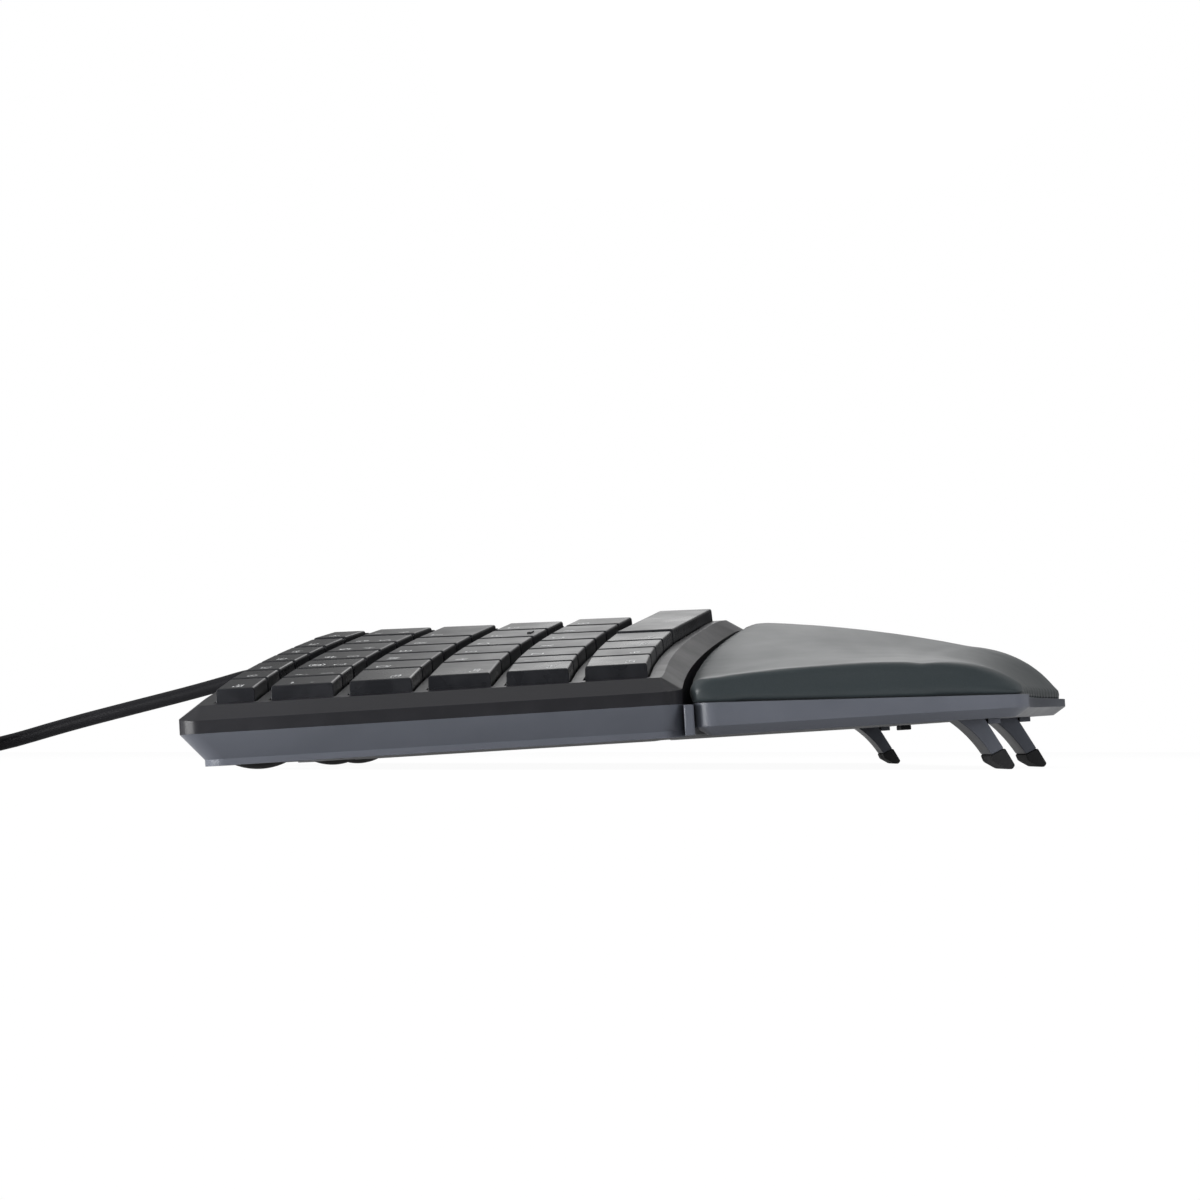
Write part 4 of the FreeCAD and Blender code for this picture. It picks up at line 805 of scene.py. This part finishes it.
def make_cushion():
    """Even faces over the pad's shape, swollen by its filling and worked along its edges."""
    cushion = bpy.data.objects.new("cushion", NODES["palm_rest_pad"].data.copy())
    scene.collection.objects.link(cushion)
    remesh = cushion.modifiers.new("even_faces", "REMESH")
    remesh.mode = "VOXEL"
    remesh.voxel_size = VOXEL
    bpy.context.view_layer.update()
    mesh = applied(cushion)
    full = values_of(mesh, "co")
    normals = values_of(mesh, "normal")
    low, high = SEAT_FACING
    free = np.clip((normals[:, 2:] - low) / (high - low), 0, 1)
    slim = full - normals * (SLIMMER * free)
    swollen = full
    mesh, swollen = filled(cushion, slim, free)
    moves = (swollen - slim) * free
    lengths = np.linalg.norm(moves, axis=1, keepdims=True)
    moves *= np.minimum(1, MOST_SWELL / np.maximum(lengths, SAME_PLACE))
    points = (slim + evened(moves, mesh, EVENING_STEPS)
              + evened(worked_sides(full, normals), mesh, SIDE_STEPS))
    mesh.vertices.foreach_set("co", points.ravel())
    relax = cushion.modifiers.new("relaxed", "SMOOTH")
    relax.factor = RELAX_FACTOR
    relax.iterations = RELAX_STEPS
    mesh.polygons.foreach_set("use_smooth", [True] * len(mesh.polygons))
    mesh.materials.clear()
    mesh.materials.append(FINISHES["pad_cover"])
    mesh.update()
    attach(cushion, CASING)
    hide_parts("palm_rest_pad")


make_cushion()


# Studio: pale floor, white surroundings and soft lamps

WHITE = (1, 1, 1, 1)
FLOOR_COLOUR = (0.7, 0.7, 0.7, 1)
FLOOR_ROUGHNESS = 0.9
FLOOR_SPECULAR = 0.05
FLOOR_REACH = 6.0
FLOOR_DROP = 0.05 * MM
FLOOR_GLOW = 0.9
FLOOR_MIRRORED = 0.25
GLOW_STRENGTH = 1.06
SOFT_LIGHT = 0.35
# Ramps over one part of a direction: its low and high end, and the share of light at each
FAR_SIDE_X = (0.3, 0.8, 0.0, 1.0)
NEAR_SHADE_X = (-0.6, 0.0, 0.8, 0.0)
PANEL_REAR_Y = (0.02, 0.09, 1.0, 0.12)
PANEL_FRONT_Y = (-0.26, -0.06, 0.14, 1.0)
PANEL_RISE_Z = (0.04, 0.22, 0.12, 1.5)


def seen_directly(tree, mirrored=1.0):
    """1 for camera rays, a share for glossy and transmission rays, 0 for light on the object."""
    path = tree.nodes.new("ShaderNodeLightPath")
    total = path.outputs["Is Camera Ray"]
    for name in ("Is Glossy Ray", "Is Transmission Ray"):
        share = math_node(tree, "MULTIPLY", path.outputs[name], mirrored)
        total = math_node(tree, "MAXIMUM", total, share)
    return total


def mix_shaders(tree, share, first, second, output):
    """Sends two shaders to an output, the second one by its share."""
    mix = tree.nodes.new("ShaderNodeMixShader")
    tree.links.new(share, mix.inputs["Fac"])
    tree.links.new(first.outputs[0], mix.inputs[1])
    tree.links.new(second.outputs[0], mix.inputs[2])
    tree.links.new(mix.outputs[0], output.inputs["Surface"])


def make_floor():
    """A pale floor that is white where the camera sees it and still takes the shadow."""
    mesh = bpy.data.meshes.new("floor")
    mesh.from_pydata([(x * FLOOR_REACH, y * FLOOR_REACH, -FLOOR_DROP)
                      for x, y in ((-1, -1), (1, -1), (1, 1), (-1, 1))], [], [(0, 1, 2, 3)])
    floor = bpy.data.objects.new("floor", mesh)
    scene.collection.objects.link(floor)
    material = bpy.data.materials.new("floor")
    material.use_nodes = True
    tree = material.node_tree
    nodes = tree.nodes
    shader = nodes["Principled BSDF"]
    shader.inputs["Base Color"].default_value = FLOOR_COLOUR
    shader.inputs["Roughness"].default_value = FLOOR_ROUGHNESS
    shader.inputs["Specular IOR Level"].default_value = FLOOR_SPECULAR
    glow = nodes.new("ShaderNodeEmission")
    glow.inputs["Color"].default_value = WHITE
    glow.inputs["Strength"].default_value = GLOW_STRENGTH
    share = math_node(tree, "MULTIPLY", seen_directly(tree, FLOOR_MIRRORED), FLOOR_GLOW)
    mix_shaders(tree, share, shader, glow, nodes["Material Output"])
    mesh.materials.append(material)


def make_world():
    """White for the camera; in reflections a shaded near side and a bright far panel."""
    world = bpy.data.worlds.new("studio")
    scene.world = world
    world.use_nodes = True
    tree = world.node_tree
    nodes = tree.nodes
    way = nodes.new("ShaderNodeSeparateXYZ")
    tree.links.new(nodes.new("ShaderNodeTexCoord").outputs["Generated"], way.inputs[0])

    def ramp(part, ends):
        return range_node(tree, way.outputs[part], *ends, steps="SMOOTHSTEP")

    far_side = ramp("X", FAR_SIDE_X)
    even = math_node(tree, "SUBTRACT", 1.0, ramp("X", NEAR_SHADE_X))
    panel = math_node(tree, "MULTIPLY", ramp("Y", PANEL_REAR_Y), ramp("Y", PANEL_FRONT_Y))
    panel = math_node(tree, "MULTIPLY", panel, ramp("Z", PANEL_RISE_Z))
    far_light = math_node(tree, "MULTIPLY", far_side, panel)
    near_light = math_node(tree, "MULTIPLY", math_node(tree, "SUBTRACT", 1.0, far_side), even)
    bright = math_node(tree, "ADD", far_light, near_light)
    path = nodes.new("ShaderNodeLightPath")
    bright = math_node(tree, "MAXIMUM", bright, path.outputs["Is Camera Ray"])
    soft = nodes["Background"]
    soft.inputs["Color"].default_value = WHITE
    soft.inputs["Strength"].default_value = SOFT_LIGHT
    white = nodes.new("ShaderNodeBackground")
    white.inputs["Color"].default_value = WHITE
    tree.links.new(bright, white.inputs["Strength"])
    mix_shaders(tree, seen_directly(tree), soft, white, nodes["World Output"])


def make_lamp(name, place, target, size, watts, mirrored):
    """A rectangular lamp that the camera doesn't see, and that shows in gloss if mirrored."""
    data = bpy.data.lights.new(name, "AREA")
    data.shape = "RECTANGLE"
    data.size, data.size_y = size
    data.energy = watts
    lamp = bpy.data.objects.new(name, data)
    lamp.location = place
    lamp.rotation_euler = (Vector(target) - Vector(place)).to_track_quat("-Z", "Y").to_euler()
    lamp.visible_glossy = mirrored
    lamp.visible_camera = False
    scene.collection.objects.link(lamp)


make_floor()
make_world()
make_lamp("top_lamp", place=(0.1, -0.1, 1.6), target=(0, 0, 0), size=(1.4, 1.4), watts=11,
          mirrored=False)
make_lamp("near_lamp", place=(-1.7, 0.1, 0.5), target=(-0.2, 0, 0), size=(1.2, 0.8), watts=2.9,
          mirrored=False)
make_lamp("corner_lamp", place=(-0.33, 0.33, 0.05), target=(-0.2, 0.08, 0.01), size=(0.22, 0.10),
          watts=1.6, mirrored=True)
make_lamp("leg_lamp", place=(-0.43, -0.20, 0.016), target=(-0.19, -0.09, 0.010),
          size=(0.14, 0.08), watts=0.55, mirrored=False)
